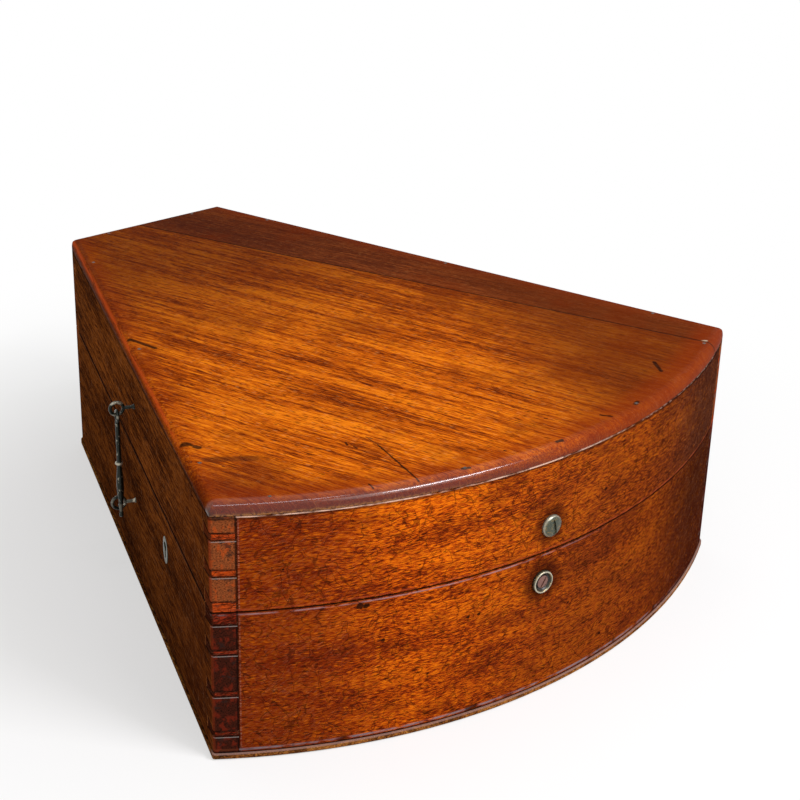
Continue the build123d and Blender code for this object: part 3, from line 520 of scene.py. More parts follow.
def top_wood(name, strip):
    """Wood of the top: orange-brown main board or redder strip, with the purple-red thumb edge."""
    finish, wood, x, y, z = begin(name)
    turn = radians(25.0 if strip else 21.0)
    run = x * sin(turn) - y * cos(turn)
    across = x * cos(turn) + y * sin(turn)
    side_run, side_depth = along_side(x, y)
    front_run, front_depth = along_front(finish, x, y)
    colours = (wood.top_shade, wood.top, wood.top_light)
    if strip:
        colours = (wood.strip_shade, wood.strip, wood.strip_light)
    tone, fibre, bent = grain(finish, run, across, z, colours, 1.1, 0.6, 3.0 if strip else 0.0, 8.0)
    short = pores(finish, run + 5.0, bent + 2.0, z, 4.0, 0.8, 0.4)
    dashes = pores(finish, run, bent, z, 7.0, 1.0, 0.5).most(short)
    finish.lay(dashes * 0.7, wood.pore)
    flecks = pores(finish, run + 8.0, bent + 5.0, z, 5.0, 0.8, 0.24)
    finish.lay(flecks * 0.4, TONE.fleck)

    # painted shade: the top is darker towards the narrow end and the right, where less light falls,
    # and darker in clouds
    far_end = (y + x * 0.25).rising(-60, 120)
    finish.lay(far_end * 0.72, wood.strip_shade)
    to_right_shade = (x * 0.9 - y * 0.35).rising(34, 120)
    finish.lay(to_right_shade * 0.84, TONE.right)
    to_corner = ((x + 150) ** 2 + (y + 128) ** 2) ** 0.5
    finish.lay(to_corner.falling(5, 44) * 0.62, TONE.corner)
    cloud = finish.noise(x / 46, y / 46, 0.0, 5.0, 0.62)
    finish.lay(cloud.rising(0.48, 0.66) * 0.5, wood.top_shade)
    edge_shade = (side_depth.falling(2, 16) * 0.35).most(front_depth.falling(8, 20) * 0.5)
    finish.lay(edge_shade, TONE.edge)

    # purple-red band on the thumb edge, and an orange painted highlight on the left arris
    soft = finish.noise(front_run / 14, z / 3, 0.0, 3.0) * 3.0
    to_far_end = front_run.rising(-90, 60)
    band = (front_depth + soft + to_far_end * 2.4).falling(1.6, 6.0)
    band_tone = finish.mix(to_far_end, wood.band, TONE.far_band)
    finish.lay(band * 0.94, band_tone)
    finish.lay((fibre.falling(0.3, 0.6) * band) * 0.5, wood.pore)
    # painted highlight: a tan line along the foot of the thumb edge, on its left part
    foot = z.falling(TOP_JOINT + 0.4, TOP_JOINT + 2.2) * front_depth.falling(1.5, 3.0)
    specks = finish.noise(front_run / 1.6, z / 0.9, 0.0).rising(0.42, 0.62)
    tan = finish.mix(specks, TONE.tan, TONE.tan_speck)
    finish.lay(foot * front_run.falling(-120, -20) * 0.85, tan)
    # painted highlight in orange along the left arris of the top
    edge = side_depth.falling(0.6, 2.6) * z.rising(126.0, 128.6) * x.falling(-20, 0)
    edge = edge * side_run.falling(240, 285) * finish.noise(side_run / 12, z, 0.0).rising(0.3, 0.5)
    finish.lay(edge * 0.9, TONE.orange)
    # painted shade: the top's edge over the side walls takes on their dark colour
    low_side = side_depth.falling(0.5, 3.5) * z.falling(125, 128.5)
    finish.lay(low_side * 0.55, wood.side_shade)

    # marks on the main board: a crack, nail marks and dark strokes
    rag = (finish.noise(x / 2, y / 2, 0.0) - 0.5) * 0.9
    if strip:
        dot = finish.stroke(x, y, (136.0, -134.0), (137.6, -134.8), 0.9)
        finish.lay(dot * 0.8, TONE.dot)
    else:
        marks = strongest([finish.stroke(x, y, *mark, rag) for mark in MARKS])
        finish.lay(marks * 0.88, wood.grime_and_shade)
        smear = finish.stroke(x, y, (-137.0, -93.5), (-120.0, -104.6), 2.6, rag * 1.5)
        finish.lay(smear * 0.55, TONE.smear)
    joint = (x - 137.0) * cos(radians(25)) + (y + 137.0) * sin(radians(25))
    seam = abs(joint).falling(0.25, 0.8)
    finish.lay(seam * 0.8, wood.grime_and_shade)

    scuffs = finish.hairs(run / 30, across / 1.1, 7.0, 3.0, 0.7, 0.008) * wood.wear
    finish.lay(scuffs * 0.22, TONE.scuff)
    under = z.falling(TOP_JOINT + 0.05, TOP_JOINT + 0.25) * side_depth.rising(WALL - 1, WALL)
    under = under * front_depth.rising(WALL - 1, WALL)
    finish.lay(under, inside_tone(finish, tone, dashes))
    polish = front_depth.falling(3.6, 6.6)
    coat = polish * (0.05 + front_run.falling(-90, 50) * 0.6)
    return finish_wood(finish, fibre, dashes, 0.36, 0.001, Coat_Weight=coat, Coat_Roughness=0.15)


# Places on the curved front (along it, up), turns of the slots in degrees
STUD_PLACE = (-6.0, 90.3)
CUP_PLACE = (-9.6, 62.0)
STUD_SLOT_TURN = 102.0
CUP_SLOT_TURN = 58.0

# Small flecks on the curved front in millimetres: along, up, radius
LID_SPOTS = ((-117.7, 99.3, 0.7), (-62.4, 109.0, 0.8), (30.0, 97.0, 1.4), (-138.0, 97.0, 0.7))
BASE_SPOTS = (
    (-50.7, 55.9, 1.4), (-44.9, 55.8, 1.3), (34.4, 15.4, 1.2), (9.0, 43.6, 0.9),
    (-103.9, 74.0, 2.6), (-92.8, 54.2, 1.3), (-101.0, 73.6, 2.2), (-70.5, 31.0, 1.0),
)


def front_wood(name, is_lid):
    """Wood of the curved front: orange with many short dark dashes, with painted shade darkening
    both ends.
    """
    finish, wood, x, y, z = begin(name)
    own = LID_TONE if is_lid else BASE_TONE
    run, depth = along_front(finish, x, y)
    _, side_depth = along_side(x, y)
    colours = (wood.front_shade, wood.front, wood.front_light)
    seed = 1.7 if is_lid else 5.1
    rise = z - run * 0.04
    tone, fibre, bent = grain(finish, run, rise, depth, colours, 0.3, 1.1, seed, 3.6, 0.5)
    cloud = finish.noise(run / 30, z / 14, 2.0, 5.0, 0.65)
    finish.lay(cloud.rising(0.47, 0.62) * 0.42, wood.front_shade)
    # painted shade: the front darkens towards both ends, where it turns away from the light, most
    # at the right end
    left = run.falling(-140, -66)
    right = run.rising(-110, 40)
    finish.lay(left * (0.72 if is_lid else 0.76), TONE.left)
    finish.lay(right * (0.66 if is_lid else 0.68), wood.far_shade)
    far_right = run.rising(50, 135)
    finish.lay(far_right * 0.86, own.far_end)
    if not is_lid:
        finish.lay(z.falling(6, 60) * 0.16 + 0.1, wood.front_shade)

    long_pores = pores(finish, run, bent, depth, 6.5, 1.15, 0.62)
    fine_pores = pores(finish, run + 3.3, bent + 0.7, depth, 3.4, 0.85, 0.6)
    dashes = (long_pores * 0.95).most(fine_pores * 0.8)
    finish.lay(dashes * (0.72 if is_lid else 0.8), wood.pore)
    lights = pores(finish, run + 9.1, bent + 4.1, depth, 4.6, 1.0, 0.45)
    finish.lay(lights * (1 - left * 0.5) * (1 - right * 0.8) * 0.55, wood.front_light)

    # the pins between the side walls' tails
    pins = side_depth.falling(WALL - 0.6, WALL - 0.2)
    strands = fibre.rising(0.4, 0.6) if is_lid else fibre.rising(0.46, 0.62)
    pin_tone = finish.mix(strands, own.pin_dark, own.pin)
    finish.lay(pins * 0.85, pin_tone)
    ends = side_depth.falling(0.5, 1.0)
    finish.lay(ends * 0.85, own.pin_end)
    lines = joint_lines(z, depth, is_lid, 0.6) * pins
    shoulder = abs(side_depth - WALL).falling(0.25, 0.7) * depth.falling(1.0, 2.0)
    finish.lay(lines.most(shoulder) * 0.85, wood.grime_and_shade)
    beside = abs(side_depth - WALL - 0.9).falling(0.1, 0.45) * fibre.rising(0.45, 0.62)
    finish.lay(beside * 0.4, TONE.beside)

    # darker wood round the fittings
    rag = finish.noise(run / 5, z / 5, 0.0, 3.0) * 9.0
    place, reach = (STUD_PLACE, 10.5) if is_lid else (CUP_PLACE, 12.5)
    away = ((run - place[0]) ** 2 + (z - place[1]) ** 2) ** 0.5 + rag
    finish.lay(away.falling(reach, reach + 7.0) * 0.72, TONE.stain)

    # fine slanting scratches, stronger on the left and at the right end
    scuffs = finish.hairs((run + z) / 26, (z * 1.4 - run) / 2.4, 4.0, 2.0, 0.8, 0.009)
    scuffs = scuffs * (left * 0.8 + far_right * 0.9).clamped()
    finish.lay(scuffs * wood.wear * 0.4, TONE.front_scuff)
    hairs = finish.hairs((run * 0.8 + z) / 30, (z * 0.6 - run) / 16, 12.0, 2.0, 0.6, 0.010, 0.003)
    cross = finish.hairs((run + z) / 14, (z - run) / 40, 31.0, 2.0, 0.6, 0.010, 0.003, 0.48)
    finish.lay(hairs.most(cross) * wood.wear * 0.8, wood.pore)

    # dark joint lines with painted shadow at the split, and painted highlight lines on the rounded
    # edges
    dark_line, highlight_line, low_highlight_line = dark_joints_and_highlights(finish, run, z, depth, is_lid)
    finish.lay(dark_line * 0.9, wood.grime_and_shade)
    if is_lid:
        lit = highlight_line * run.falling(-20, 60) + highlight_line * fibre.rising(0.45, 0.6) * 0.5
        finish.lay((lit * 0.9).clamped(), own.split_glint)
        finish.lay(low_highlight_line * 0.5, own.low_glint)
    else:
        finish.lay(highlight_line * run.falling(-30, 40) * 0.75, own.split_glint)
        finish.lay(low_highlight_line * run.falling(40, 140) * 0.8, own.low_glint)
        blots = finish.noise(run / 13, 0.0, 3.0).rising(0.55, 0.65)
        finish.lay(blots * z.falling(5.5, 8.5) * 0.7, wood.grime_and_shade)
    flecks = spots(finish, run, z, LID_SPOTS if is_lid else BASE_SPOTS)
    finish.lay(flecks * 0.9, wood.grime_and_shade)
    finish.lay(depth.rising(WALL - 1.2, WALL - 0.6), inside_tone(finish, tone, dashes))
    return finish_wood(finish, fibre, dashes, 0.36)


def spots(finish, run, z, places):
    """Mask of small round flecks."""
    rag = finish.noise(run / 1.4, z / 1.4, 5.0) - 0.5
    flecks = []
    for place_run, place_z, radius in places:
        square = (run - place_run) ** 2 + (z - place_z) ** 2 * 1.6
        flecks.append((square**0.5 + rag * radius).falling(radius * 0.5, radius))
    return strongest(flecks)


def dark_joints_and_highlights(finish, run, z, depth, is_lid):
    """Masks at the joints of a wall: the dark line, with painted shadow in the gap at the split,
    and the painted highlight line and the low painted highlight line.
    """
    skin = depth.falling(1.2, 2.4)
    broken = finish.noise(run / 9, z / 3, 6.0, 3.0).rising(0.34, 0.58)
    if is_lid:
        dark = z.rising(TOP_JOINT - 2.0, TOP_JOINT - 0.9) * 0.7
        dark = dark.most(z.falling(SPLIT + 0.2, SPLIT + 0.7))
        light = z.rising(TOP_JOINT - 0.55, TOP_JOINT - 0.3)
        low = z.within(SPLIT + 1.0, SPLIT + 1.7, 0.3)
    else:
        dark = z.falling(BASE_JOINT + 0.3, BASE_JOINT + 1.0)
        dark = dark.most(z.rising(SPLIT - 0.7, SPLIT - 0.2))
        light = z.within(SPLIT - 1.5, SPLIT - 0.8, 0.25)
        low = z.within(BASE_JOINT + 1.2, BASE_JOINT + 2.2, 0.4)
    return dark * skin, light * skin * broken, low * skin * broken


def side_wood(name, is_lid):
    """Wood of a side wall: dark brown as painted shade, with its tails' end grain on the curved
    front.
    """
    finish, wood, x, y, z = begin(name)
    run, depth = along_side(x, y)
    _, front_depth = along_front(finish, x, y)
    colours = (wood.side_shade, wood.side, wood.side_light)
    tone, fibre, bent = grain(finish, run, z, depth, colours, 0.8, 1.0, 2.6 if is_lid else 8.2, 9.0)
    if not is_lid:
        finish.lay(0.16 + z.falling(20, 70) * 0.1, wood.side_shade)
    near_front = run.rising(225, 300)
    finish.lay(near_front * 0.35, TONE.near_front)
    finish.lay(run.falling(8, 70) * (0.2 if is_lid else 0.08), TONE.far_side)
    dashes = pores(finish, run, bent, depth, 9.0, 1.2, 0.42)
    finish.lay(dashes * 0.6, wood.pore)
    flecks = finish.noise(run / 2.0, z / 9.0, 3.0, 3.0, 0.7)
    finish.lay(flecks.rising(0.58, 0.7) * 0.35, wood.grime_and_shade)

    # end grain on the faces of the tails
    tail_face = front_depth.falling(0.7, 1.2).most((back_y - y).falling(0.7, 1.2))
    ring = finish.noise(0.0, z / 0.55, depth / 0.8, 3.0, 0.7)
    end_tone = wood.end_grain if is_lid else TONE.base_tail
    ends = finish.mix(ring.rising(0.34, 0.6), TONE.tail_dark if is_lid else wood.grime_and_shade, end_tone)
    patches = finish.noise(0.0, z / 5, depth / 3, 3.0, 0.6).rising(0.5, 0.64)
    ends = finish.mix(patches * 0.6, ends, (LID_TONE if is_lid else BASE_TONE).patch)
    stains = finish.noise(0.0, z / 4.2 + 9.0, depth / 5, 3.0, 0.6).rising(0.56, 0.66)
    ends = finish.mix(stains * 0.75, ends, TONE.tail_stain)
    finish.lay(tail_face, ends)
    into = side_length - run
    lines = joint_lines(z, into.least(front_depth), is_lid, 0.5) * (front_depth.falling(12, 14))
    lines = lines.most(abs(front_depth - WALL).falling(0.3, 0.8) * depth.falling(0.6, 1.2) * 0.6)
    lines = lines.most(depth.rising(WALL - 1.0, WALL - 0.4) * tail_face)
    finish.lay(lines * 0.85, wood.grime_and_shade)
    # painted highlight beside each edge between tail and pin
    grey = joint_lines(z, front_depth.least(WALL), is_lid, 0.22, -0.75) * tail_face
    finish.lay(grey * 0.55, TONE.tail_glint)
    corner = depth.falling(0.2, 1.1) * front_depth.falling(1.0, 3.0)
    finish.lay(corner * (0.55 if is_lid else 0.35), TONE.arris)

    # dark joint lines with painted shadow at the split, and painted highlight lines on the rounded
    # edges
    dark_line, highlight_line, low_highlight_line = dark_joints_and_highlights(finish, run, z, depth.least(front_depth), is_lid)
    # painted shadow in the gap between lid and base
    split_line = abs(z - SPLIT).falling(0.7, 1.5) * depth.falling(1.2, 2.4) * (1 - tail_face)
    finish.lay(dark_line.most(split_line) * 0.9, wood.grime_and_shade)
    finish.lay(highlight_line * 0.25, TONE.split_glint)
    finish.lay(low_highlight_line * 0.3, TONE.low_glint)
    scuffs = finish.hairs(run / 5, z / 24, 4.0, 2.0, 0.8, 0.008) * (1 - tail_face)
    finish.lay(scuffs * wood.wear * 0.3, TONE.side_scuff)
    inner = depth.rising(WALL - 0.5, WALL - 0.2) * (1 - tail_face)
    finish.lay(inner, inside_tone(finish, tone, dashes))
    return finish_wood(finish, fibre, dashes, 0.42)


def end_wood(name, is_lid):
    """Wood of the narrow end wall."""
    finish, wood, x, y, z = begin(name)
    depth = back_y - y
    _, side_depth = along_side(x, y)
    # painted shade: the end wall takes the side walls' darker colours
    colours = (wood.side_shade, wood.side, wood.side_light)
    tone, fibre, bent = grain(finish, x, z, depth, colours, 0.8, 1.0, 4.4, 8.0)
    dashes = pores(finish, x, bent, depth, 8.0, 1.2, 0.42)
    finish.lay(dashes * 0.6, wood.pore)
    ends = side_depth.falling(0.4, 0.9)
    finish.lay(ends * 0.7, wood.end_grain)
    lines = joint_lines(z, depth.least(side_depth), is_lid)
    # dark joint lines with painted shadow at the split, and painted highlight lines on the rounded
    # edges
    dark_line, highlight_line, low_highlight_line = dark_joints_and_highlights(finish, x, z, depth, is_lid)
    finish.lay(dark_line.most(lines * side_depth.falling(WALL, WALL + 1)) * 0.85, wood.grime_and_shade)
    finish.lay(highlight_line * 0.35, TONE.split_glint)
    finish.lay(low_highlight_line * 0.4, TONE.low_glint)
    finish.lay(depth.rising(WALL - 1.2, WALL - 0.6), inside_tone(finish, tone, dashes))
    return finish_wood(finish, fibre, dashes, 0.42)


def bottom_wood(name):
    """Wood of the bottom boards: brown-yellow and scuffed, with a painted highlight along the top
    edge.
    """
    finish, wood, x, y, z = begin(name)
    _, depth = along_front(finish, x, y)
    colours = (TONE.bottom_dark, TONE.bottom, TONE.bottom_light)
    _, fibre, bent = grain(finish, y, x, z, colours, 0.8, 1.0, 6.0, 8.0)
    dashes = pores(finish, y, bent, z, 8.0, 1.3, 0.4)
    finish.lay(dashes * 0.5, wood.pore)
    scuff = finish.noise(x / 6, y / 6, z / 2, 4.0, 0.65)
    finish.lay(scuff.rising(0.5, 0.62) * 0.6, wood.grime_and_shade)
    # painted highlight on the top edge of the bottom boards
    top_edge = z.rising(BASE_JOINT - 0.9, BASE_JOINT - 0.2) * depth.falling(2.0, 4.0)
    finish.lay(top_edge * 0.7, TONE.step)
    return finish_wood(finish, fibre, dashes, 0.6)


def inner_wood(name):
    """Plain varnished wood of the rests."""
    finish, wood, x, y, z = begin(name)
    colours = (TONE.rest_dark, TONE.rest, TONE.rest_light)
    _, fibre, bent = grain(finish, y, x, z, colours, 0.8, 1.0, 9.0, 9.0)
    dashes = pores(finish, y, bent, z, 7.0, 1.2, 0.36)
    finish.lay(dashes * 0.5, wood.pore)
    return finish_wood(finish, fibre, dashes, 0.5)


def aged_brass(name, cover=0.7, scale=1.0, worn=None, dirt=None, skin_tone=None):
    """Old brass under a green-grey skin; worn makes a mask of painted highlights and rubbed brass,
    dirt a mask of grime and painted shade, both from X, Y and Z.
    """
    metal = bpy.context.scene.case_metal
    finish = Finish(name, Specular_IOR_Level=0.5)
    place = finish.place()
    cloud = finish.noise(*place, 4.0, 0.65, 0.9 * scale)
    fine = finish.noise(*place, 3.0, 0.7, 4.5 * scale)
    skin = (cloud * 0.7 + fine * 0.3).falling(cover - 0.16, cover + 0.1)
    pits = fine.rising(0.60, 0.70)
    tone = skin_tone or metal.tarnish
    pale_tone = tuple(min(1.0, part * 1.7) for part in tone)
    dull = finish.mix(fine.rising(0.35, 0.65), tone, pale_tone)
    finish.colour = finish.mix(skin, metal.brass, dull)
    finish.lay(pits * 0.65, TONE.pit)
    if worn:
        finish.lay(worn(finish, *place), TONE.rubbed)
    grime_and_shade = 0.0
    if dirt:
        grime_and_shade = dirt(finish, *place)
        finish.lay(grime_and_shade * 0.9, TONE.brass_grime)
    finish.set(
        Base_Color=finish.colour,
        Metallic=(0.95 - skin * 0.25 - grime_and_shade * 0.6).clamped(),
        Roughness=0.2 + skin * 0.12 + pits * 0.25,
        Normal=finish.bump(fine * 0.6 - pits),
    )
    return finish.material


def from_fitting(finish, x, y, z, place):
    """Distance on the curved front from the middle of a fitting."""
    run, _ = along_front(finish, x, y)
    return ((run - place[0]) ** 2 + (z - place[1]) ** 2) ** 0.5


# painted highlight and rubbed brass on the stud's rim
def stud_rim(finish, x, y, z):
    return from_fitting(finish, x, y, z, STUD_PLACE).rising(4.6, 5.3) * 0.45


# painted highlight and rubbed brass on the cup's rim
def cup_rim(finish, x, y, z):
    away = from_fitting(finish, x, y, z, CUP_PLACE)
    return away.within(4.9, 5.5, 0.2) * 0.7


# grime and painted shade in the cup's recess
def cup_groove(finish, x, y, z):
    return from_fitting(finish, x, y, z, CUP_PLACE).within(3.1, 4.6, 0.3)


def hook_glints(finish, x, y, z):
    """Painted highlights on the collar, the swell and the rings of the eyes, with rubbed spots all
    over.
    """
    broken = finish.noise(x / 1.5, y / 1.5, z / 2.5).rising(0.6, 0.68)
    collar = z.within(72.6, 74.2, 0.3) * 0.7
    ring_top = z.within(106.2, 107.6, 0.4) * 0.6
    ring_foot = z.within(99.6, 101.0, 0.4) * 0.35
    catch = z.within(46.2, 50.6, 0.5) * (broken * 0.6 + 0.15)
    return collar.most(ring_top).most(ring_foot).most(catch).most(broken * 0.4)


def turned_steel(name):
    """Grey steel with fine scratches and a little rust."""
    finish = Finish(name)
    x, y, z = finish.place()
    rust = finish.noise(x, y, z, 3.0, 0.6, 1.1).rising(0.5, 0.66)
    fine = finish.noise(x, y * 6, z * 6, 2.0, 0.6, 1.4)
    finish.set(
        Base_Color=finish.mix(rust, bpy.context.scene.case_metal.steel, TONE.rust),
        Metallic=0.95 - rust * 0.6,
        Roughness=0.3 + (fine - 0.3) * 0.3,
        Normal=finish.bump(fine, FINE_BUMP / 2),
    )
    return finish.material


def baize_cloth(name):
    """Green woollen baize with a short felted nap."""
    cloth = bpy.context.scene.case_cloth
    finish = Finish(name, Roughness=0.95, Specular_IOR_Level=0.1, Sheen_Weight=0.35)
    place = finish.place()
    nap = finish.noise(*place, 4.0, 0.75, 3.4)
    tufts = finish.noise(*place, 3.0, 0.6, 0.5)
    finish.colour = finish.mix(nap.rising(0.3, 0.7), TONE.baize_dark, cloth.baize)
    finish.lay(tufts.rising(0.5, 0.7) * 0.4, TONE.tuft)
    finish.set(Base_Color=finish.colour, Normal=finish.bump(nap, 0.0003 * cloth.nap))
    return finish.material


# ---- pieces


EDGE_ANGLE = radians(35)
METAL_EASE = 0.0001
MERGE = 0.000001


def object_of(name, mesh, *materials):
    """Object in the scene from a finished bmesh."""
    data = bpy.data.meshes.new(name)
    mesh.to_mesh(data)
    mesh.free()
    for material in materials:
        data.materials.append(material)
    made = bpy.data.objects.new(name, data)
    bpy.context.scene.collection.objects.link(made)
    return made


def piece_from(name, mesh, material, body, slot, *node_names):
    """Smooth piece that rides on a body and stands for CAD nodes."""
    piece = object_of(name, mesh, material)
    piece.data.polygons.foreach_set("use_smooth", [True] * len(piece.data.polygons))
    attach(piece, body)
    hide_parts(*node_names)
    return piece


def copy_of(node_name):
    """A merged copy of a CAD node's mesh, with its flat faces whole."""
    mesh = bmesh.new()
    mesh.from_mesh(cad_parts[node_name].data)
    bmesh.ops.remove_doubles(mesh, verts=mesh.verts, dist=0.000002)
    bmesh.ops.dissolve_limit(mesh, angle_limit=radians(0.5), verts=mesh.verts, edges=mesh.edges)
    return mesh


def bevelled(suffix, node_name, material, body, slot, width):
    """Copy of a CAD node with its sharp edges eased."""
    piece = piece_from(node_name + suffix, copy_of(node_name), material, body, slot, node_name)
    piece.data.set_sharp_from_angle(angle=EDGE_ANGLE)
    ease = piece.modifiers.new("Ease", "BEVEL")
    ease.width = width
    ease.segments = 2
    ease.limit_method = "ANGLE"
    ease.angle_limit = EDGE_ANGLE
    ease.use_clamp_overlap = True
    ease.harden_normals = False
    return piece


def paint(material, *node_names):
    """Give CAD nodes their material."""
    for node_name in node_names:
        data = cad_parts[node_name].data
        data.materials.clear()
        data.materials.append(material)


def spun(mesh, geom, before, steps, matrix):
    """Turn these vertices and edges once about Z, then place what is new by the matrix."""
    full_turn = {"cent": (0, 0, 0), "axis": (0, 0, 1), "angle": 2 * pi, "use_merge": True}
    bmesh.ops.spin(mesh, geom=geom, steps=steps, use_duplicate=False, **full_turn)
    fresh = [vert for vert in mesh.verts if vert not in before]
    bmesh.ops.remove_doubles(mesh, verts=fresh, dist=MERGE)
    fresh = [vert for vert in mesh.verts if vert not in before]
    bmesh.ops.transform(mesh, matrix=matrix, verts=fresh)


def ring_mesh(mesh, ring_radius, wire_radius, matrix, steps=48, sides=14):
    """Closed ring of round wire about the matrix's Z."""
    before = set(mesh.verts)
    made = bmesh.ops.create_circle(mesh, segments=sides, radius=wire_radius * MM)
    turn = Matrix.Translation((ring_radius * MM, 0, 0)) @ Matrix.Rotation(pi / 2, 4, "X")
    bmesh.ops.transform(mesh, matrix=turn, verts=made["verts"])
    rim = list({edge for vert in made["verts"] for edge in vert.link_edges})
    spun(mesh, rim, before, steps, matrix)


def turned_mesh(mesh, profile, matrix, steps=40):
    """Solid turned about the matrix's Z from (radius, height) points with both ends on it."""
    before = set(mesh.verts)
    verts = [mesh.verts.new((radius * MM, 0, height * MM)) for radius, height in profile]
    edges = [mesh.edges.new(pair) for pair in zip(verts, verts[1:])]
    spun(mesh, verts + edges, before, steps, matrix)


def turned_piece(name, profile, place, steps, material, body, node_name):
    """Turned brass piece that stands for a CAD node."""
    mesh = bmesh.new()
    turned_mesh(mesh, profile, place, steps)
    return piece_from(name, tidy(mesh), material, body, "brass", node_name)


def rounded_profile(points, radius, cuts):
    """Profile whose inner corners are cut round."""
    result = [points[0]]
    for before, here, after in zip(points, points[1:], points[2:]):
        here = Vector(here)
        ways = [Vector(point) - here for point in (before, after)]
        reach = min(radius, *(way.length * 0.45 for way in ways))
        first, last = (here + way.normalized() * reach for way in ways)
        for step in range(cuts + 1):
            t = step / cuts
            result.append(tuple(first * (1 - t) ** 2 + here * (2 * t * (1 - t)) + last * t**2))
    return [*result, points[-1]]


def tidy(mesh):
    """Closed and pointing outward."""
    bmesh.ops.remove_doubles(mesh, verts=mesh.verts, dist=MERGE)
    bmesh.ops.recalc_face_normals(mesh, faces=mesh.faces)
    return mesh


# Eyes and hook in millimetres: places (along the left wall, up), distance out, radii
UPPER_EYE = (169.5, 103.7)
LOWER_EYE = (163.5, 47.8)
EYE_OUT = 8.75
EYE_RING = 3.3
EYE_WIRE = 0.85
HOOK_RING = 2.7


def make_eye(name, node_name, along, up, body, material):
    """Screw eye: round wire ring, its neck with a shoulder, and the shank in the wood."""
    mesh = bmesh.new()
    upright = side_frame(along, up, EYE_OUT) @ Matrix.Rotation(pi / 2, 4, "Y")
    ring_mesh(mesh, EYE_RING, EYE_WIRE, upright)
    turned_mesh(mesh, EYE_NECK, side_frame(along, up, 0), 20)
    return piece_from(name, tidy(mesh), material, body, "brass", node_name)


# The rests inside and the bodies that they ride on
RESTS = {
    "apex_rest": "base",
    "limb_rest_left": "base",
    "limb_rest_right": "base",
    "lid_rest_left": "lid",
    "lid_rest_right": "lid",
}


class CASE_OT_woods(bpy.types.Operator):
    """Finish every board of the case"""

    bl_idname = "case.woods"
    bl_label = "Boards and walls"

    def execute(self, context):
        arris = context.scene.case_wood.arris
        boards = {
            "lid_board_main": (top_wood("Mahogany top", False), "lid", "mahogany"),
            "lid_board_strip": (top_wood("Mahogany strip", True), "lid", "mahogany_strip"),
        }
        for part, is_lid in (("lid", True), ("base", False)):
            side = side_wood(f"Mahogany {part} side", is_lid)
            walls = {
                "front": front_wood(f"Mahogany {part} front", is_lid),
                "narrow": end_wood(f"Mahogany {part} end", is_lid),
                "left": side,
                "right": side,
            }
            for place, material in walls.items():
                boards[f"{part}_wall_{place}"] = (material, part, "mahogany")
        bottom = bottom_wood("Bottom boards")
        for way in ("left", "right"):
            boards["base_board_" + way] = (bottom, "base", "base_wood")
        rest_wood = inner_wood("Wood of the rests")
        for node_name, body in RESTS.items():
            boards[node_name] = (rest_wood, body, "rest_wood")
        for node_name, (material, body, slot) in boards.items():
            bevelled("_finished", node_name, material, body, slot, arris)
        return {"FINISHED"}


# Profiles of the turned pieces: radius and height in millimetres
STUD = (
    (0, -0.3), (5.5, -0.3), (5.55, 0.5), (5.35, 1.05), (4.75, 1.6),
    (3.7, 2.1), (2.4, 2.4), (1.1, 2.52), (0, 2.55),
)
CUP = (
    (2.0, -0.3), (5.7, -0.3), (5.8, 0.8), (5.6, 1.5), (5.2, 1.85), (4.8, 1.65),
    (4.5, 1.0), (4.2, 0.45), (3.9, 0.22), (2.0, 0.22), (2.0, -0.3),
)
CUP_SCREW = ((0, 0.22), (3.2, 0.22), (3.35, 0.5), (3.2, 0.9), (2.6, 1.15), (1.4, 1.3), (0, 1.35))
HOOK_TOP = 96.95
HOOK_ROD = (
    (0, 42.6), (0.9, 43.1), (1.25, 43.9), (0.9, 45.1), (0.9, 48.7), (1.2, 51.5), (1.75, 57.5),
    (1.9, 61.0), (1.75, 65.0), (1.25, 71.0), (1.15, 72.5), (1.2, 72.6), (2.0, 73.0), (2.1, 73.5),
    (2.0, 74.0), (1.2, 74.4), (1.15, 74.5), (1.15, HOOK_TOP + 0.2), (0.7, HOOK_TOP + 0.5),
    (0, HOOK_TOP + 0.6),
)
HOOK_FINGER = ((0, 0), (0.9, 0), (0.92, 2.6), (0.75, 3.9), (0.4, 4.4), (0, 4.5))
EYE_NECK = (
    (0, -8.4), (0.95, -8.2), (1.0, -0.2), (1.35, -0.1), (1.4, 0.3),
    (1.0, 0.7), (0.85, 1.6), (0.85, 4.9), (0.6, 5.4), (0, 5.5),
)


class CASE_OT_fittings(bpy.types.Operator):
    """Stud, cup, cup screw and escutcheon"""

    bl_idname = "case.fittings"
    bl_label = "Stud, cup and escutcheon"

    def execute(self, context):
        stud_brass = aged_brass("Brass of the stud", 0.66, 1.0, stud_rim)
        cup_brass = aged_brass("Brass of the cup", 0.62, 1.0, cup_rim, cup_groove)
        copper = TONE.copper
        screw_brass = aged_brass("Brass of the cup screw", 0.7, 1.6, None, cup_groove, copper)
        dark = aged_brass("Dark brass", 0.7, 1.6)

        foot = front_frame(*STUD_PLACE, 0)
        stud = turned_piece("front_stud_round", STUD, foot, 56, stud_brass, "lid", "front_stud")
        cut_slot(stud, front_frame(*STUD_PLACE, 2.9), STUD_SLOT_TURN, (7.4, 1.9, 2.4))
        foot = front_frame(*CUP_PLACE, 0)
        turned_piece("front_cup_round", CUP, foot, 56, cup_brass, "base", "front_cup")
        name = "front_cup_screw"
        screw = turned_piece(name + "_round", CUP_SCREW, foot, 48, screw_brass, "base", name)
        cut_slot(screw, front_frame(*CUP_PLACE, 1.5), CUP_SLOT_TURN, (9.0, 1.0, 1.2))

        bevelled("_eased", "escutcheon", dark, "base", "brass", METAL_EASE * 1.2)
        paint(dark, "escutcheon_pins")
        return {"FINISHED"}


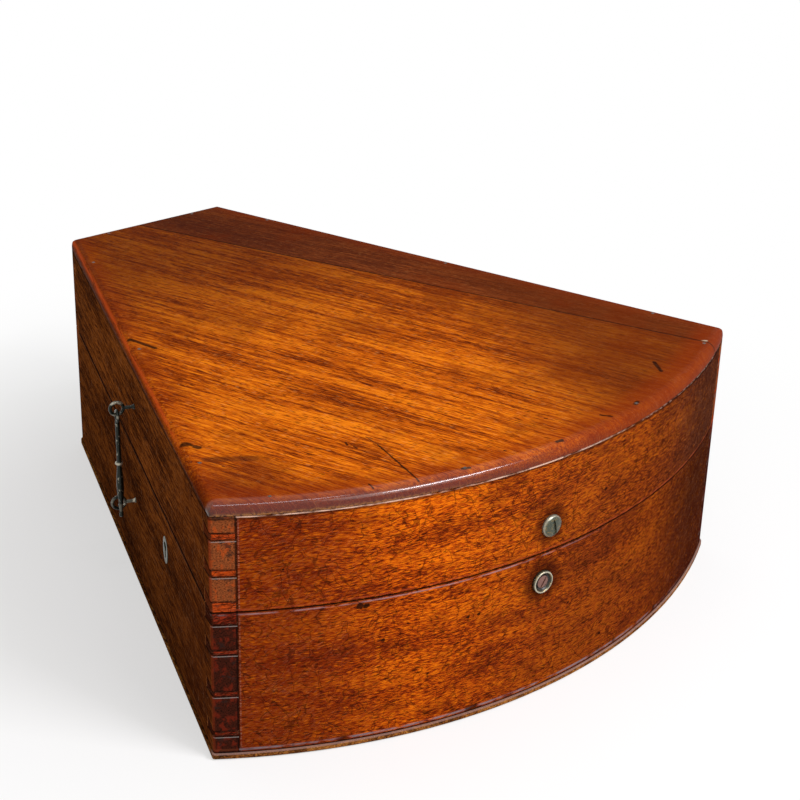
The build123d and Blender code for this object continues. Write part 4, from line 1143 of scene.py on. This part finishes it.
def cut_slot(piece, place, turn, size):
    """Screwdriver slot of this length, width and depth in millimetres, cut by a hidden block."""
    mesh = bmesh.new()
    bmesh.ops.create_cube(mesh, size=1.0)
    block = Matrix.Diagonal([side * MM for side in size] + [1.0])
    matrix = place @ Matrix.Rotation(radians(turn), 4, "Z") @ block
    bmesh.ops.transform(mesh, matrix=matrix, verts=mesh.verts)
    cutter = object_of("slot_cutter", mesh)
    cut = piece.modifiers.new("Slot", "BOOLEAN")
    cut.operation = "DIFFERENCE"
    cut.object = cutter
    cut.solver = "EXACT"
    bpy.context.view_layer.update()
    depsgraph = bpy.context.evaluated_depsgraph_get()
    result = bpy.data.meshes.new_from_object(piece.evaluated_get(depsgraph))
    piece.modifiers.clear()
    piece.data = result
    bpy.data.objects.remove(cutter)
    piece.data.set_sharp_from_angle(angle=radians(40))


class CASE_OT_hook(bpy.types.Operator):
    """Hook and the two screw eyes on the left wall"""

    bl_idname = "case.hook"
    bl_label = "Hook and eyes"

    def execute(self, context):
        # the hook's near-black skin is tarnish and a painted dark reflection, with painted
        # highlights
        wire = aged_brass("Brass of the hook", 0.8, 1.3, hook_glints, None, TONE.hook_skin)
        make_eye("upper_eye_round", "upper_eye", *UPPER_EYE, "lid", wire)
        make_eye("lower_eye_round", "lower_eye", *LOWER_EYE, "base", wire)

        mesh = bmesh.new()
        upright = side_frame(UPPER_EYE[0], 0, EYE_OUT) @ Matrix.Rotation(-pi / 2, 4, "X")
        middle = Matrix.Translation((0, 0, (HOOK_TOP + HOOK_RING) * MM))
        loop = upright @ middle @ Matrix.Rotation(pi / 2, 4, "X")
        ring_mesh(mesh, HOOK_RING, 0.8, loop, 40, 12)
        turned_mesh(mesh, rounded_profile(HOOK_ROD, 0.5, 2), upright, 20)
        lean_in = Matrix.Rotation(radians(14 - 90), 4, "Y")
        finger = upright @ Matrix.Translation((0, 0, 47.2 * MM)) @ lean_in
        turned_mesh(mesh, HOOK_FINGER, finger, 18)
        piece_from("hook_round", tidy(mesh), wire, "hook", "brass", "hook")
        return {"FINISHED"}


class CASE_OT_metalwork(bpy.types.Operator):
    """Hinges, lock, screws and brads"""

    bl_idname = "case.metalwork"
    bl_label = "Hinges and lock"

    def execute(self, context):
        hinge = aged_brass("Brass of the hinges", 0.5)
        lock = aged_brass("Brass of the lock", 0.44)
        steel = turned_steel("Old steel")
        for place in ("back", "front"):
            for leaf in ("base", "lid"):
                node_name = f"hinge_{place}_{leaf}_leaf"
                bevelled("_eased", node_name, hinge, leaf, "brass", METAL_EASE * 1.2)
            bevelled("_eased", f"hinge_{place}_pin", hinge, "base", "brass", METAL_EASE)
        lock_bodies = {
            "lock_plate": "base", "lock_link_plate": "lid", "lock_case": "base", "lock_bolt": "bolt"
        }
        for node_name, body in lock_bodies.items():
            bevelled("_eased", node_name, lock, body, "brass_inside", METAL_EASE)
        screws = aged_brass("Brass of the screws", 0.56, 1.6)
        paint(screws, "hinge_base_screws", "hinge_lid_screws", "lock_screws", "lock_link_screws")
        paint(steel, "base_board_brads", "lid_board_brads")
        return {"FINISHED"}


class CASE_OT_baize(bpy.types.Operator):
    """Crowned baize strips on the rests"""

    bl_idname = "case.baize"
    bl_label = "Baize on the rests"

    def execute(self, context):
        cloth = baize_cloth("Green baize")
        steep = radians(60)
        for rest, body in RESTS.items():
            node_name = rest + "_pad"
            way = 1 if body == "base" else -1
            mesh = copy_of(node_name)
            low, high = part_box(node_name)
            middle = (low.z + high.z) / 2
            rises = ((edge, abs(edge.verts[0].co.z - edge.verts[1].co.z)) for edge in mesh.edges)
            flat = [edge for edge, rise in rises if rise < 0.0001]
            bmesh.ops.subdivide_edges(mesh, edges=flat, cuts=14, use_grid_fill=True)
            face = [vert for vert in mesh.verts if (vert.co.z - middle) * way > 0]
            corners = [edge for edge in mesh.edges if edge.calc_face_angle(0) > steep]
            rim = {vert for edge in corners for vert in edge.verts}
            for vert in face:
                if vert in rim:
                    vert.co.z -= way * 0.0007
            bmesh.ops.bevel(
                mesh,
                geom=[edge for edge in mesh.edges if edge.calc_face_angle(0) > steep],
                offset=0.0004,
                offset_type="OFFSET",
                affect="EDGES",
                segments=2,
                profile=0.5,
                material=-1,
            )
            name = node_name + "_cloth"
            piece = piece_from(name, tidy(mesh), cloth, body, "baize", node_name)
        return {"FINISHED"}


class CASE_OT_stage(bpy.types.Operator):
    """Pale floor, soft lamps and the camera at the photograph's viewpoint"""

    bl_idname = "case.stage"
    bl_label = "Floor, lamps and camera"

    def execute(self, context):
        scene = context.scene
        stage = scene.case_stage
        mesh = bmesh.new()
        bmesh.ops.create_grid(mesh, x_segments=1, y_segments=1, size=6.0)
        floor = object_of("floor", mesh, floor_paint(stage.floor))

        scene.world = bpy.data.worlds.new("Even light")
        scene.world.use_nodes = True
        tree = Tree(scene.world.node_tree)
        sky = tree.node("ShaderNodeBackground", {}, {0: (1.0, 0.985, 0.96, 1.0), 1: stage.sky})
        white = tree.node("ShaderNodeBackground", {}, {0: WHITE, 1: 1.0})
        both = tree.node("ShaderNodeMixShader", {}, {0: tree.seen(), 1: sky, 2: white})
        tree.node("ShaderNodeOutputWorld", {}, {0: both}, None)

        warm, cool, cold = (1.0, 0.98, 0.95), (0.94, 0.93, 1.0), (0.9, 0.9, 1.0)
        key, strip = stage.key_power, stage.strip_power
        area_lamp("Key", (0.12, -1.15, 1.0), (0.0, -0.05, 0.06), (0.7, 0.7), key, warm)
        area_lamp("Strip", (0.36, -1.12, 1.16), (0.0, -0.15, 0.12), (0.62, 0.085), strip, cool)
        place, target = (-0.2, -0.53, 1.3), (-0.1, -0.15, 0.12)
        area_lamp("Left strip", place, target, (0.5, 0.09), strip * 0.12, cold)

        lens = bpy.data.cameras.new("Photograph")
        lens.sensor_width = 36.0
        lens.sensor_fit = "HORIZONTAL"
        lens.lens = stage.lens * 1000
        lens.clip_start = 0.01
        camera = bpy.data.objects.new("Photograph", lens)
        scene.collection.objects.link(camera)
        camera.matrix_world = (
            Matrix.Translation((-0.5232, -0.6848, 0.5009))
            @ Matrix.Rotation(radians(-39.894), 4, "Z")
            @ Matrix.Rotation(radians(90 - 25.823), 4, "X")
            @ Matrix.Rotation(radians(1.665), 4, "Z")
        )
        scene.camera = camera
        scene.view_settings.view_transform = "Standard"
        return {"FINISHED"}


def floor_paint(pale):
    """Pale floor that the camera sees as white, with only the soft shadow of the case on it."""
    finish = Finish("Pale floor", Roughness=0.9, Specular_IOR_Level=0.05, Base_Color=(*pale, 1.0))
    x, y, _ = finish.place()
    reach = (x * x + y * y) ** 0.5
    share_white = finish.seen() * (0.55 + reach.rising(150, 420) * 0.45)
    glow = finish.node("ShaderNodeEmission", {}, {0: WHITE, 1: 1.0})
    sockets = {0: share_white, 1: finish.surface, 2: glow}
    finish.fill(finish.output.inputs[0], finish.node("ShaderNodeMixShader", {}, sockets))
    return finish.material


def area_lamp(name, place, target, size, power, tint):
    """Rectangular lamp at a place, turned to a target."""
    lamp = bpy.data.lights.new(name, "AREA")
    lamp.shape = "RECTANGLE"
    lamp.size, lamp.size_y = size
    lamp.energy = power
    lamp.color = tint
    holder = bpy.data.objects.new(name, lamp)
    bpy.context.scene.collection.objects.link(holder)
    aim = (Vector(target) - Vector(place)).to_track_quat("-Z", "Y")
    holder.matrix_world = Matrix.Translation(place) @ aim.to_matrix().to_4x4()


OPERATORS = (
    CASE_OT_woods,
    CASE_OT_fittings,
    CASE_OT_hook,
    CASE_OT_metalwork,
    CASE_OT_baize,
    CASE_OT_stage,
)
GROUPS = {
    "case_wood": CaseWood,
    "case_metal": CaseMetal,
    "case_cloth": CaseCloth,
    "case_stage": CaseStage,
}


class CASE_PT_panel(bpy.types.Panel):
    """Sizes, colours and pieces of the case"""

    bl_idname = "CASE_PT_panel"
    bl_label = "Wedge-shaped case"
    bl_space_type = "VIEW_3D"
    bl_region_type = "UI"
    bl_category = "Case"

    def draw(self, context):
        for group_name, group in GROUPS.items():
            box = self.layout.box()
            for value in group.__annotations__:
                box.prop(getattr(context.scene, group_name), value)
        for operator in OPERATORS:
            self.layout.operator(operator.bl_idname)


def register():
    for group_name, group in GROUPS.items():
        bpy.utils.register_class(group)
        setattr(bpy.types.Scene, group_name, bpy.props.PointerProperty(type=group))
    for operator in OPERATORS:
        bpy.utils.register_class(operator)
    bpy.utils.register_class(CASE_PT_panel)


def unregister():
    bpy.utils.unregister_class(CASE_PT_panel)
    for operator in reversed(OPERATORS):
        bpy.utils.unregister_class(operator)
    for group_name, group in GROUPS.items():
        delattr(bpy.types.Scene, group_name)
        bpy.utils.unregister_class(group)


def main():
    register()
    bpy.ops.case.woods()
    bpy.ops.case.fittings()
    bpy.ops.case.hook()
    bpy.ops.case.metalwork()
    bpy.ops.case.baize()
    bpy.ops.case.stage()


if __name__ == "__main__":
    main()
